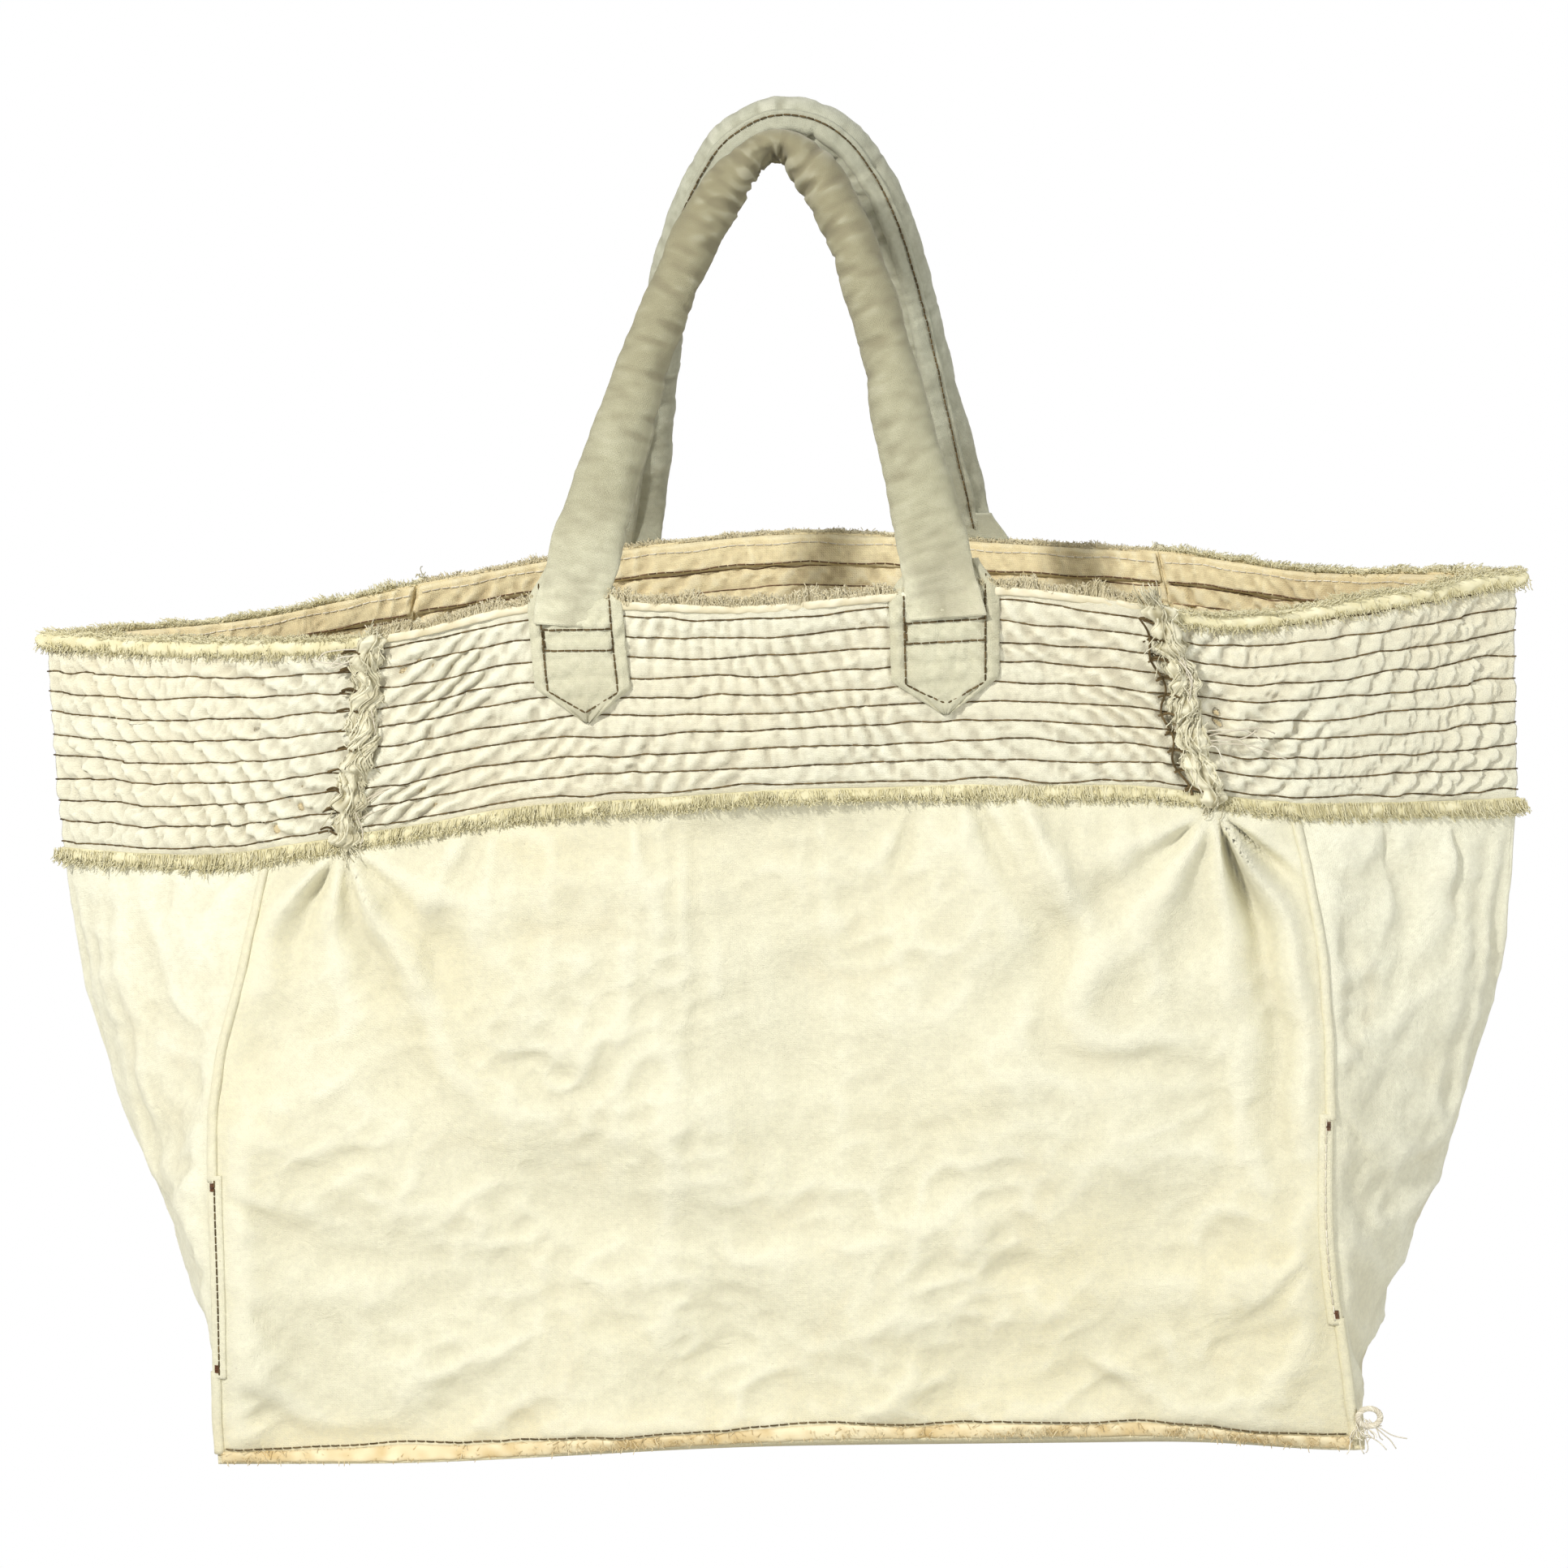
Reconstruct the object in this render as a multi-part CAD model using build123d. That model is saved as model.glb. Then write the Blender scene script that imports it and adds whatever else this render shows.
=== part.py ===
"""Large canvas tote bag with a quilted top band, frayed raw edges and two padded rope handles.

Frame: +Z up, +X to the wearer's right as seen from the front, front face towards -Y.
Origin: centre of the base, on the surface that the bag stands on. Units are millimetres.

The fabric walls are lattice solids. A lattice runs across the wall, up the wall and through its
thickness, and every wall is placed by the same outline, so that neighbours share one shape.
"""

from build123d import *
import math
import os

# --- driving dimensions -------------------------------------------------------------------------
canvas = 2.0                # one wall of the body with its seam allowances
ply = 1.4                   # one layer of the quilted band
gap = 0.3                   # clearance between neighbouring pieces

base_half_length = 244.0    # side seam at the base, from the middle
base_half_depth = 84.0
base_thickness = 2.0

hem_height = 286.0          # where the body meets the band, in the middle of the front
hem_droop = 31.0            # how much lower the hem is at the wing tips
rim_height = 367.0          # top of the band, in the middle of the front
rim_droop = 11.0

wing_reach_base = 248.0     # fold line of the side gusset
wing_reach_hem = 316.0
wing_reach_rim = 314.0
seam_inset = 30.0           # how far the side seams lean in by the hem
seam_depth_hem = 38.0
seam_depth_rim = 36.0
mid_depth_base = 86.0       # middle of the front face, from the bag's centre plane
mid_depth_hem = 62.0
mid_depth_rim = 74.0

gather_hem = 179.0          # gathered seam between the front and side bands
gather_rim = 163.0

mouth_low, mouth_high = 50.0, 140.0   # side pocket mouths
pocket_floor, pocket_roof = 28.0, 172.0
pocket_inner_edge = 0.47    # share of the panel's half length
pocket_depth = 15.0
mouth_share = 0.8           # the gusset's edge at the mouth, as a share of its depth

tab_middle = 73.0           # handle tabs
tab_half_width = 22.0
tab_tip, tab_shoulder, tab_top = 320.0, 334.0, 362.0
tab_thickness = 2.4
facing_depth = 3.8          # top facing, from the outside of the band
patch_half_width, patch_low, patch_high = 20.0, 326.0, 356.0

hinge_depth, hinge_height = 77.0, 360.0   # the line that a handle folds about
handle_lean = 15.0          # degrees, towards the other handle
handle_foot = (75.0, 0.0)   # half spread and height above the hinge line
handle_knee = {"front": (54.0, 105.0), "back": (65.0, 95.0)}
handle_crown = {"front": (24.0, 195.0), "back": (37.0, 197.0)}
knee_radius = {"front": 400.0, "back": 190.0}
crown_radius = {"front": 32.0, "back": 44.0}
cover_radius, core_radius = 11.5, 9.0
neck_height, flat_height = 45.0, 14.0

fringe_height = 4.0
fringe_thickness = 1.2
hem_fringe_height = 7.0
knot_radius, knot_thread = 5.0, 1.6


# --- the outline that every wall follows --------------------------------------------------------
def hem_at(x):
    return hem_height - hem_droop * (x / wing_reach_hem) ** 2


def rim_at(x):
    return rim_height - rim_droop * (x / wing_reach_hem) ** 2


def mix(a, b, share):
    return a + (b - a) * share


def body_level(v):
    """Wing reach, seam reach, seam depth, middle depth and fold sharpness, at v from base 0 to hem 1."""
    spread = v * (1.9 - 0.9 * v)
    return (mix(wing_reach_base, wing_reach_hem, spread),
            base_half_length - seam_inset * v**2,
            mix(base_half_depth, seam_depth_hem, v**2),
            mix(mid_depth_base, mid_depth_hem, v**2),
            mix(2.2, 1.1, v))


def band_level(w):
    """The same five values at w from hem 0 to rim 1. Below the hem a trim follows the body."""
    if w < 0:
        return body_level(1 + w * (rim_height - hem_height) / hem_height)
    return (mix(wing_reach_hem, wing_reach_rim, w),
            base_half_length - seam_inset - 4 * w,
            mix(seam_depth_hem, seam_depth_rim, w),
            mix(mid_depth_hem, mid_depth_rim, w),
            1.1)


def face_depth(level, x, t):
    """Distance of the front face from the centre plane at x, t millimetres inside the surface."""
    reach, seam, seam_depth, mid_depth, fold = level
    return mid_depth - t - (mid_depth - seam_depth) * (x / seam) ** 2


def inset(level, t):
    """Wing reach, seam reach and seam depth of the gusset, t millimetres inside the surface."""
    reach, seam, seam_depth, mid_depth, fold = level
    half_angle = math.atan2(seam_depth, reach - seam)
    return reach - t / math.sin(half_angle), seam - t * math.sin(half_angle), seam_depth - t


def panel_point(side, a, v, t):
    """Front (side -1) or back (side 1) panel: a from left -1 to right 1, v from base to hem."""
    level = body_level(v)
    x = a * level[1]
    z = mix(base_thickness + gap, hem_at(x), v)
    return x, side * face_depth(level, x, t), z


def gusset_point(side, q, v, t):
    """Left (side -1) or right (side 1) gusset: q from front seam -1 to back seam 1."""
    level = body_level(v)
    reach, seam, seam_depth = inset(level, t)
    x = seam + (reach - seam) * (1 - abs(q) ** level[4])
    return side * x, q * seam_depth, mix(base_thickness + gap, hem_at(x), v)


def band_height(x, w):
    return mix(hem_at(x) + gap, rim_at(x), w)


def face_band_point(side, a, w, t):
    """Front or back band between its gathered seams, a from -1 to 1."""
    x = a * (mix(gather_hem, gather_rim, w) - gap)
    return x, side * face_depth(band_level(w), x, t), band_height(x, w)


def side_band_point(side, b, w, t):
    """Side band: b from the front gathered seam -1, round the fold 0, to the back one 1."""
    level = band_level(w)
    reach, seam, seam_depth = inset(level, t)
    gather = mix(gather_hem, gather_rim, w)
    x = reach - (reach - gather) * abs(b)
    if x < seam:
        depth = face_depth(level, x, t)
    else:
        depth = seam_depth * ((reach - x) / (reach - seam)) ** (1 / level[4])
    return side * x, math.copysign(depth, b) if b else 0.0, band_height(x, w)


# --- lattice solids ------------------------------------------------------------------------------
def steps(low, high, count):
    return [mix(low, high, i / count) for i in range(count + 1)]


def lattice(place, across, up, through, filled=lambda i, j, k: True):
    """One closed solid from the filled cells of a lattice whose corners are place(across, up, through)."""
    corner = {(i, j, k): Vector(*place(s, t, o))
              for i, s in enumerate(across) for j, t in enumerate(up) for k, o in enumerate(through)}
    size = (len(across) - 1, len(up) - 1, len(through) - 1)

    def is_filled(cell):
        return all(0 <= c < n for c, n in zip(cell, size)) and filled(*cell)

    faces = []
    for cell in ((i, j, k) for i in range(size[0]) for j in range(size[1]) for k in range(size[2])):
        if not is_filled(cell):
            continue
        for axis in range(3):
            for end in (0, 1):
                beside = list(cell)
                beside[axis] += 1 if end else -1
                if is_filled(tuple(beside)):
                    continue
                first, second = [n for n in range(3) if n != axis]
                outward = (end == 1) == (axis != 1)
                quad = []
                for da, db in ((0, 0), (1, 0), (1, 1), (0, 1)) if outward else ((0, 0), (0, 1), (1, 1), (1, 0)):
                    key = list(cell)
                    key[axis] += end
                    key[first] += da
                    key[second] += db
                    quad.append(corner[tuple(key)])
                for triangle in (quad[:3], [quad[0], quad[2], quad[3]]):
                    faces.append(Face(Wire.make_polygon(triangle, close=True)))
    return tidy_solid(faces)


def tidy_solid(faces):
    solid = Solid(Shell(faces))
    return solid if solid.volume > 0 else Solid(solid.wrapped.Reversed())


# --- body -----------------------------------------------------------------------------------------
def body_heights():
    """Levels from base 0 to hem 1, with one at each end of the pocket mouths and pocket bags."""
    marks = (pocket_floor, mouth_low, mouth_high, pocket_roof)
    return sorted(steps(0, 1, 5)[:1] + [m / hem_height for m in marks] + [0.74, 0.87, 1.0])


def panel(side):
    return lattice(lambda a, v, t: panel_point(side, a, v, t), steps(-1, 1, 12), body_heights(), (0, canvas))


def gusset(side):
    """Both layers of the side in one piece, with a notch at the front seam for the pocket mouth."""
    edge = 1 - (canvas + gap) / base_half_depth
    across = [-edge, -mouth_share, -0.5, -0.25, 0, 0.25, 0.5, mouth_share, edge]
    levels = body_heights()
    low, high = levels.index(mouth_low / hem_height), levels.index(mouth_high / hem_height)
    return lattice(lambda q, v, t: gusset_point(side, q, v, t), across, levels, (0, canvas),
                   lambda i, j, k: not (i == 0 and low <= j < high))


def base_panel():
    level = body_level(0)
    edge = [Vector(x, -face_depth(level, x, 0), 0) for x in steps(-level[1], level[1], 12)]
    fold = [Vector(level[0], y, 0) for y in (-base_half_depth / 2, base_half_depth / 2)]
    half = edge + fold
    outline = Wire.make_polygon(half + [Vector(-p.X, -p.Y, 0) for p in half], close=True)
    return extrude(Face(outline), base_thickness)


def pocket_bag(side):
    """Back layer and rim of a pocket that hangs inside the front panel, open towards the side seam."""
    rim = 0.008
    across = [pocket_inner_edge, pocket_inner_edge + rim, 0.6, 0.75, 0.88, 0.975]
    if side < 0:
        across = [-a for a in reversed(across)]
    inner_column = len(across) - 2 if side < 0 else 0
    up = [pocket_floor, pocket_floor + 2, mouth_low, mouth_high, pocket_roof - 2, pocket_roof]
    through = (canvas + gap, pocket_depth, pocket_depth + 1.2)
    return lattice(lambda a, v, t: panel_point(-1, a, v, t), across, [h / hem_height for h in up], through,
                   lambda i, j, k: k == 1 or i == inner_column or j in (0, len(up) - 2))


def side_seam(face, side):
    """Felled ridge along the edge of a panel. The front ones leave the pocket mouths open."""
    def ridge(low, high):
        ends = [low / hem_height, high / hem_height]
        between = [v for v in body_heights() if ends[0] < v < ends[1]]
        return lattice(lambda a, v, t: panel_point(face, a, v, t), sorted((side * 0.984, side * 1.0)),
                       ends[:1] + between + ends[1:], (-2.0 - gap, -2 * gap))

    if face > 0:
        return ridge(6, hem_height - 9)
    return Compound(children=[ridge(6, mouth_low), ridge(mouth_high, hem_height - 9)])


def base_fringe(face):
    return lattice(lambda a, v, t: panel_point(face, a, v, t), steps(-0.97, 0.97, 12),
                   (0.004, 0.022), (-fringe_thickness - gap, -gap))


def corner_knot():
    """Knotted thread ends that hang at the front right corner of the base."""
    x, y, z = panel_point(-1, 1.0, 0.06, 0)
    ring = Torus(knot_radius, knot_thread)
    return Pos(x + knot_radius + knot_thread, y - knot_thread - gap, z) * Rot(90, 0, 0) * ring


# --- band -----------------------------------------------------------------------------------------
def band_columns(kind):
    if kind == "face":
        return steps(-1, 1, 10)
    return [-1, -0.7, -0.35, -0.12, 0, 0.12, 0.35, 0.7, 1]


def band_piece(kind, side, low, high, outer, inner):
    """A piece of the band or its trims, between shares low and high of its height."""
    point = face_band_point if kind == "face" else side_band_point
    return lattice(lambda s, w, t: point(side, s, w, t), band_columns(kind), steps(low, high, 2), (outer, inner))


def hem_fringe(kind, side):
    """Frayed strip that hangs over the joint of band and body."""
    drop = hem_fringe_height / (rim_height - hem_height)
    return band_piece(kind, side, -0.35 * drop, 0.65 * drop, -fringe_thickness - 3 * gap, -3 * gap)


def rim_fringe(kind, side):
    rise = fringe_height / (rim_height - hem_height)
    return band_piece(kind, side, 1.004, 1.0 + rise, 0.0, ply)


def gathered_seam(face, side):
    """Twisted seam allowances that stand out of the band at a corner of the front or back."""
    half = 4.5

    def place(s, w, t):
        x = side * (mix(gather_hem, gather_rim, w) + s)
        return x, face * face_depth(band_level(w), abs(x), t), band_height(abs(x), w)
    return lattice(place, (-half, 0, half), steps(0.11, 1.02, 6), (-6.5, -gap))


def tab(face, side):
    """Pointed end of a handle cover, sewn flat on the band."""
    def place(s, z, t):
        narrow = min(1.0, (z - tab_tip) / (tab_shoulder - tab_tip) * 0.96 + 0.04)
        x = side * tab_middle + s * tab_half_width * narrow
        w = (z - hem_at(x)) / (rim_at(x) - hem_at(x))
        return x, face * face_depth(band_level(w), x, t), z
    return lattice(place, (-1, 0, 1), (tab_tip, tab_shoulder, 348, tab_top), (-gap - tab_thickness, -gap))


def tab_patch(face, side):
    """Rectangle of canvas behind a tab, inside the bag."""
    def place(s, z, t):
        x = side * tab_middle + s * patch_half_width
        w = (z - hem_at(x)) / (rim_at(x) - hem_at(x))
        return x, face * face_depth(band_level(w), x, t), z
    inside = facing_depth + ply + gap
    return lattice(place, (-1, 0, 1), (patch_low, patch_high), (inside, inside + ply))


# --- handles --------------------------------------------------------------------------------------
def leg_direction(name):
    knee, foot = handle_knee[name], handle_foot
    return (Vector(knee[0], 0, knee[1]) - Vector(foot[0], 0, foot[1])).normalized()


def leg_plane(name, height, side):
    """Plane across a leg at a height above the hinge line, in the upright handle."""
    along = leg_direction(name)
    x = handle_foot[0] + along.X / along.Z * height
    return Plane(origin=(side * x, 0, height), x_dir=(along.Z, 0, -side * along.X), z_dir=(side * along.X, 0, along.Z))


def handle_path(name):
    start = leg_plane(name, neck_height, 1).origin
    knee, crown = handle_knee[name], handle_crown[name]
    half = [(start.X, 0, start.Z), (knee[0], 0, knee[1]), (crown[0], 0, crown[1])]
    points = half + [(-x, y, z) for x, y, z in reversed(half)]
    bends = [knee_radius[name], crown_radius[name]]
    return FilletPolyline(*points, radius=bends + bends[::-1])


def rope(name, radius):
    return sweep(leg_plane(name, neck_height, 1) * Circle(radius), path=handle_path(name))


def neck(name, side):
    """Where the padded cover is pressed flat before it meets its tab."""
    flat = leg_plane(name, 0, side) * Ellipse(17, 2.6)
    pressed = leg_plane(name, flat_height, side) * Ellipse(15.5, 3.2)
    round_end = leg_plane(name, neck_height, side) * Circle(cover_radius)
    return loft([flat, pressed, round_end])


def upright_to_bag(shape, face):
    """Leans the upright handle towards the bag's centre plane and moves it to its hinge line."""
    return Pos(0, face * hinge_depth, hinge_height) * Rot(face * handle_lean, 0, 0) * shape


def handle_cover(name):
    return rope(name, cover_radius) - rope(name, core_radius) + neck(name, 1) + neck(name, -1)


def build():
    parts = {"base_panel": base_panel()}
    faces = {"front": -1, "back": 1}
    sides = {"left": -1, "right": 1}
    for name, face in faces.items():
        parts[f"{name}_panel"] = panel(face)
        parts[f"{name}_base_fringe"] = base_fringe(face)
        parts[f"{name}_handle_cover"] = upright_to_bag(handle_cover(name), face)
        parts[f"{name}_handle_core"] = upright_to_bag(rope(name, core_radius - gap), face)
        for hand, side in sides.items():
            parts[f"{name}_{hand}_side_seam"] = side_seam(face, side)
            parts[f"{name}_{hand}_gathered_seam"] = gathered_seam(face, side)
            parts[f"{name}_{hand}_tab"] = tab(face, side)
            parts[f"{name}_{hand}_tab_patch"] = tab_patch(face, side)
    for hand, side in sides.items():
        parts[f"{hand}_gusset"] = gusset(side)
        parts[f"{hand}_pocket_bag"] = pocket_bag(side)
    parts["corner_knot"] = corner_knot()
    for name, side, kind in [(n, s, "face") for n, s in faces.items()] + [(n, s, "side") for n, s in sides.items()]:
        parts[f"{name}_band"] = band_piece(kind, side, 0, 1, 0, ply)
        parts[f"{name}_band_lining"] = band_piece(kind, side, 0, 1, ply + gap, 2 * ply + gap)
        parts[f"{name}_top_facing"] = band_piece(kind, side, 0.85, 1, facing_depth, facing_depth + ply)
        parts[f"{name}_rim_fringe"] = rim_fringe(kind, side)
        parts[f"{name}_hem_fringe"] = hem_fringe(kind, side)
    os.makedirs("parts", exist_ok=True)
    for name, shape in parts.items():
        export_step(shape, f"parts/{name}.step")


build()
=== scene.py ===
# Looks for the canvas tote bag. Lengths in the surface functions are millimetres; meshes are metres.
import math

import bpy
import numpy as np
from mathutils import Matrix, Vector


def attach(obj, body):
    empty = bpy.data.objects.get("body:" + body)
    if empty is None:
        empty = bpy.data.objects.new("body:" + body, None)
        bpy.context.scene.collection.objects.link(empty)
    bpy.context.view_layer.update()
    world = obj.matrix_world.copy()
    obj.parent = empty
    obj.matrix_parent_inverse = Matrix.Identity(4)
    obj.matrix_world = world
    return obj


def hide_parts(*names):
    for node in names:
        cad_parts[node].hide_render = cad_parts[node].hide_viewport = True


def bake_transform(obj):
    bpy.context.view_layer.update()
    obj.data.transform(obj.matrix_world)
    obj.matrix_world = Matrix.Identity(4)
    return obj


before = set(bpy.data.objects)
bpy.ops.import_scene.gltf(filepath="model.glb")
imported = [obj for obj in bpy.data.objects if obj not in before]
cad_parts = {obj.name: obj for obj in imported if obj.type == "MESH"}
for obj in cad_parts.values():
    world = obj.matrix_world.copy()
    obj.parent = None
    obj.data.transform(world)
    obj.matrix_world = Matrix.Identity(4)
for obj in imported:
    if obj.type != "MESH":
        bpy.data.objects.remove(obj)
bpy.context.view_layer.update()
print("frame loaded")


def mix(a, b, share):
    # a where the share is 0, b where it is 1, straight between.
    return a + (b - a) * share


def smooth(value, low, high):
    # 0 below low, 1 above high, and the cubic 3 t^2 - 2 t^3 between.
    t = np.clip((value - low) / (high - low), 0, 1)
    return t * t * (3 - 2 * t)


def bump(value, middle, width):
    # A bell of height 1 at the middle: e to the minus square of the distance over the width.
    return np.exp(-(((value - middle) / width) ** 2))


def unit(v):
    # Each vector divided by its length.
    return v / np.maximum(np.linalg.norm(v, axis=-1, keepdims=True), 1e-9)


def ripple(points, size, seed, count=22, stretch=(1, 1, 1)):
    # Smooth noise of about -1 to 1: a sum of plane waves in random directions, near one wavelength.
    rng = np.random.default_rng(seed)
    direction = unit(rng.normal(size=(count, 3))) / np.array(stretch, float)
    wave = 2 * np.pi / (size * rng.uniform(0.6, 1.7, count))
    flat = np.asarray(points, float).reshape(-1, 3)
    total = np.sin(flat @ (direction * wave[:, None]).T + rng.uniform(0, 7, count)).sum(1)
    return (total * math.sqrt(2 / count) * 0.7).reshape(np.shape(points)[:-1])


def onCloth(across, up):
    # Points at (across, up) of a flat cloth, for the noise.
    return np.stack(np.broadcast_arrays(across, up, 0.0 * across), -1)


def alongLine(knots, x):
    # Height of a line of given (x, z) knots, rounded by averaging over 40 mm.
    xs, zs = np.array(knots, float).T
    offsets = np.linspace(-20, 20, 9)
    return sum(np.interp(x + o, xs, zs) for o in offsets) / len(offsets)


def quadGrid(rows, cols, wrap=False, start=0):
    # Four corner numbers of each face of a grid of points.
    i = np.arange(rows - 1)[:, None]
    j = np.arange(cols if wrap else cols - 1)[None, :]
    k = (j + 1) % cols
    corners = [i * cols + j, i * cols + k, (i + 1) * cols + k, (i + 1) * cols + j]
    return np.stack([np.broadcast_to(c, (rows - 1, j.size)) for c in corners], -1).reshape(-1, 4) + start


def makeMesh(name, points, faces, material, uv=None, tone=None, flat=False):
    # Mesh object from points in millimetres and a list of equal-sided face arrays; uv is per point, in
    # metres.
    points = np.asarray(points, float).reshape(-1, 3)
    faces = [f for f in faces if len(f)]
    sizes = np.concatenate([np.full(len(f), f.shape[1]) for f in faces])
    loops = np.concatenate([f.ravel() for f in faces]).astype(np.int32)
    starts = np.concatenate([[0], np.cumsum(sizes)[:-1]]).astype(np.int32)
    mesh = bpy.data.meshes.new(name)
    mesh.vertices.add(len(points))
    mesh.vertices.foreach_set("co", (points / 1000).astype(np.float32).ravel())
    mesh.loops.add(len(loops))
    mesh.loops.foreach_set("vertex_index", loops)
    mesh.polygons.add(len(sizes))
    mesh.polygons.foreach_set("loop_start", starts)
    mesh.polygons.foreach_set("use_smooth", np.full(len(sizes), not flat))
    if uv is not None:
        layer = mesh.uv_layers.new(name="UVMap")
        layer.data.foreach_set("uv", np.asarray(uv, np.float32).reshape(-1, 2)[loops].ravel())
    mesh.update(calc_edges=True)
    mesh.validate()
    layer = mesh.attributes.new("tone", "FLOAT", "POINT")
    layer.data.foreach_set("value", np.broadcast_to(np.float32(0.5) if tone is None else np.ravel(tone),
                                                    len(points)).astype(np.float32))
    mesh.materials.append(material)
    piece = bpy.data.objects.new(name, mesh)
    bpy.context.scene.collection.objects.link(piece)
    return piece


def averaged(values, width, axis):
    # Gaussian average along one axis, as a product with a matrix of weights.
    n = np.arange(values.shape[axis])
    weights = np.exp(-(((n[:, None] - n) / width) ** 2))
    weights /= weights.sum(1, keepdims=True)
    return np.moveaxis(np.tensordot(weights, np.moveaxis(values, axis, 0), 1), 0, axis)


def ridges(outer, inner, spread, depth):
    # 0 in the creases of a wall to 1 on its ridges: the height of its outer surface over a local average
    # of itself.
    # Its value becomes the tone attribute of each cloth piece, from which the material paints shade into
    # the creases and light onto the ridges.
    normal = unit(np.cross(np.gradient(outer, axis=1), np.gradient(outer, axis=0)))
    normal = normal * np.sign((normal * (outer - inner)).sum())
    level = averaged(averaged(outer, spread, 0), spread, 1)
    return np.clip(0.5 + ((outer - level) * normal).sum(-1) / depth, 0, 1)


def enclosed(points, faces):
    # Signed volume of a closed set of quads.
    a, b, c, d = (points[faces[:, n]] for n in range(4))
    return float((np.cross(b - a, c - a) * a).sum() + (np.cross(c - a, d - a) * a).sum())


def slab(name, outer, inner, uv, material, tone=None):
    # Closed piece of fabric between an outer and an inner grid of the same shape.
    rows, cols = outer.shape[:2]
    count = rows * cols
    index = np.arange(count).reshape(rows, cols)
    edge = np.concatenate([index[0, :], index[1:, -1], index[-1, -2::-1], index[-2:0:-1, 0]])
    after = np.roll(edge, -1)
    top = quadGrid(rows, cols)
    rim = np.stack([edge, edge + count, after + count, after], -1)
    faces = np.concatenate([top, top[:, ::-1] + count, rim])
    points = np.concatenate([outer.reshape(-1, 3), inner.reshape(-1, 3)])
    if enclosed(points, faces) < 0:
        faces = faces[:, ::-1]
    both = np.concatenate([uv.reshape(-1, 2)] * 2)
    tones = None if tone is None else np.concatenate([tone.ravel()] * 2)
    return makeMesh(name, points, [faces], material, both, tones)


def tubes(name, paths, radius, material, sides=3, tone=None, squash=1.0, up=(0.3, 0.2, 1.0)):
    # Many closed tubes. paths is (n, m, 3); radius broadcasts to (n, m); tone is one value per tube.
    paths = np.asarray(paths, float)
    n, m = paths.shape[:2]
    radius = np.broadcast_to(radius, (n, m))[..., None, None]
    along = unit(np.gradient(paths, axis=1))
    across = unit(np.cross(along, np.broadcast_to(np.asarray(up, float), along.shape)))
    third = np.cross(along, across)
    angle = np.linspace(0, 2 * np.pi, sides, endpoint=False)[None, None, :, None]
    rings = paths[:, :, None] + radius * (np.cos(angle) * across[:, :, None]
                                          + squash * np.sin(angle) * third[:, :, None])
    one = quadGrid(m, sides, wrap=True)[:, ::-1]
    starts = (np.arange(n) * m * sides)[:, None, None]
    faces = (one[None] + starts).reshape(-1, 4)
    first = np.arange(sides)[None, :] + starts[:, 0]
    last = np.arange(sides)[None, ::-1] + starts[:, 0] + (m - 1) * sides
    uv = np.stack(np.broadcast_arrays(angle[..., 0] * 0.0005, (np.arange(m) * 0.001)[None, :, None]), -1)
    uv = np.broadcast_to(uv, (n, m, sides, 2))
    tones = np.zeros(n) if tone is None else np.broadcast_to(tone, (n,))
    tones = np.repeat(tones, m * sides)
    return makeMesh(name, rings, [faces, np.concatenate([first, last])], material, uv, tones)


def hang(piece, body, *nodes, slot=None):
    # Rides a piece on its body, in place of the CAD nodes it stands for.
    if body:
        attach(piece, body)
    if nodes:
        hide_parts(*nodes)
    return piece


def sewOn(name, paths, radius, thread, rng):
    # Stitches that ride on the bag, each with its own tone.
    stitches = tubes(name, paths, radius, thread, sides=5, tone=rng.random(len(paths)))
    return hang(stitches, "bag", slot="thread")


lines = {
    "rimFront": [(-316, 350), (-235, 350), (-176, 352), (-156, 353), (-98, 368), (-48, 368),
                 (0, 365), (38, 368),
                 (94, 371), (160, 359), (186, 350), (250, 355), (316, 361)],
    "rimBack": [(-316, 350), (-233, 350), (-163, 360), (-95, 369), (0, 375), (100, 369), (182, 366),
                (226, 359), (316, 361)],
    "hemFront": [(-316, 251), (-231, 254), (-180, 264), (-103, 279), (0, 285), (86, 284),
                 (163, 279), (182, 274),
                 (210, 267), (316, 258)],
    "hemBack": [(-316, 251), (-181, 270), (0, 285), (181, 276), (316, 258)],
}
floorLine = 0.6
gatherHem, gatherRim = 179.0, 163.0
rowCount, firstRow, rowStep = 10, 0.062, 0.0965


def edgeHeight(kind, x, back):
    # Height of the hem or rim at x, on the front (back 0) or the back (back 1).
    return mix(alongLine(lines[kind + "Front"], x), alongLine(lines[kind + "Back"], x), back)


def bodyLevel(v):
    # Half outline of the bag at share v of the way up to the hem: reach of the wing, seam and the two
    # depths of the face at its sides and middle, in millimetres, then the power of the side curve.
    spread = 1.03 * np.sin(1.62 * np.maximum(v, 0) ** 1.28)
    return [mix(248, 316, spread), 244 - 30 * v**2, mix(84, 38, v**2), mix(86, 62, v**2), mix(2.2, 1.1, v)]


def bandLevel(w):
    # The same outline at share w of the band; below the hem it follows the body.
    below = bodyLevel(1 + np.minimum(w, 0) * 81 / 286)
    above = [mix(318, 317, w), 214 - 4 * w, mix(38, 36, w), mix(62, 74, w), 1.1]
    return [np.where(w < 0, b, a) for b, a in zip(below, above)]


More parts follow.
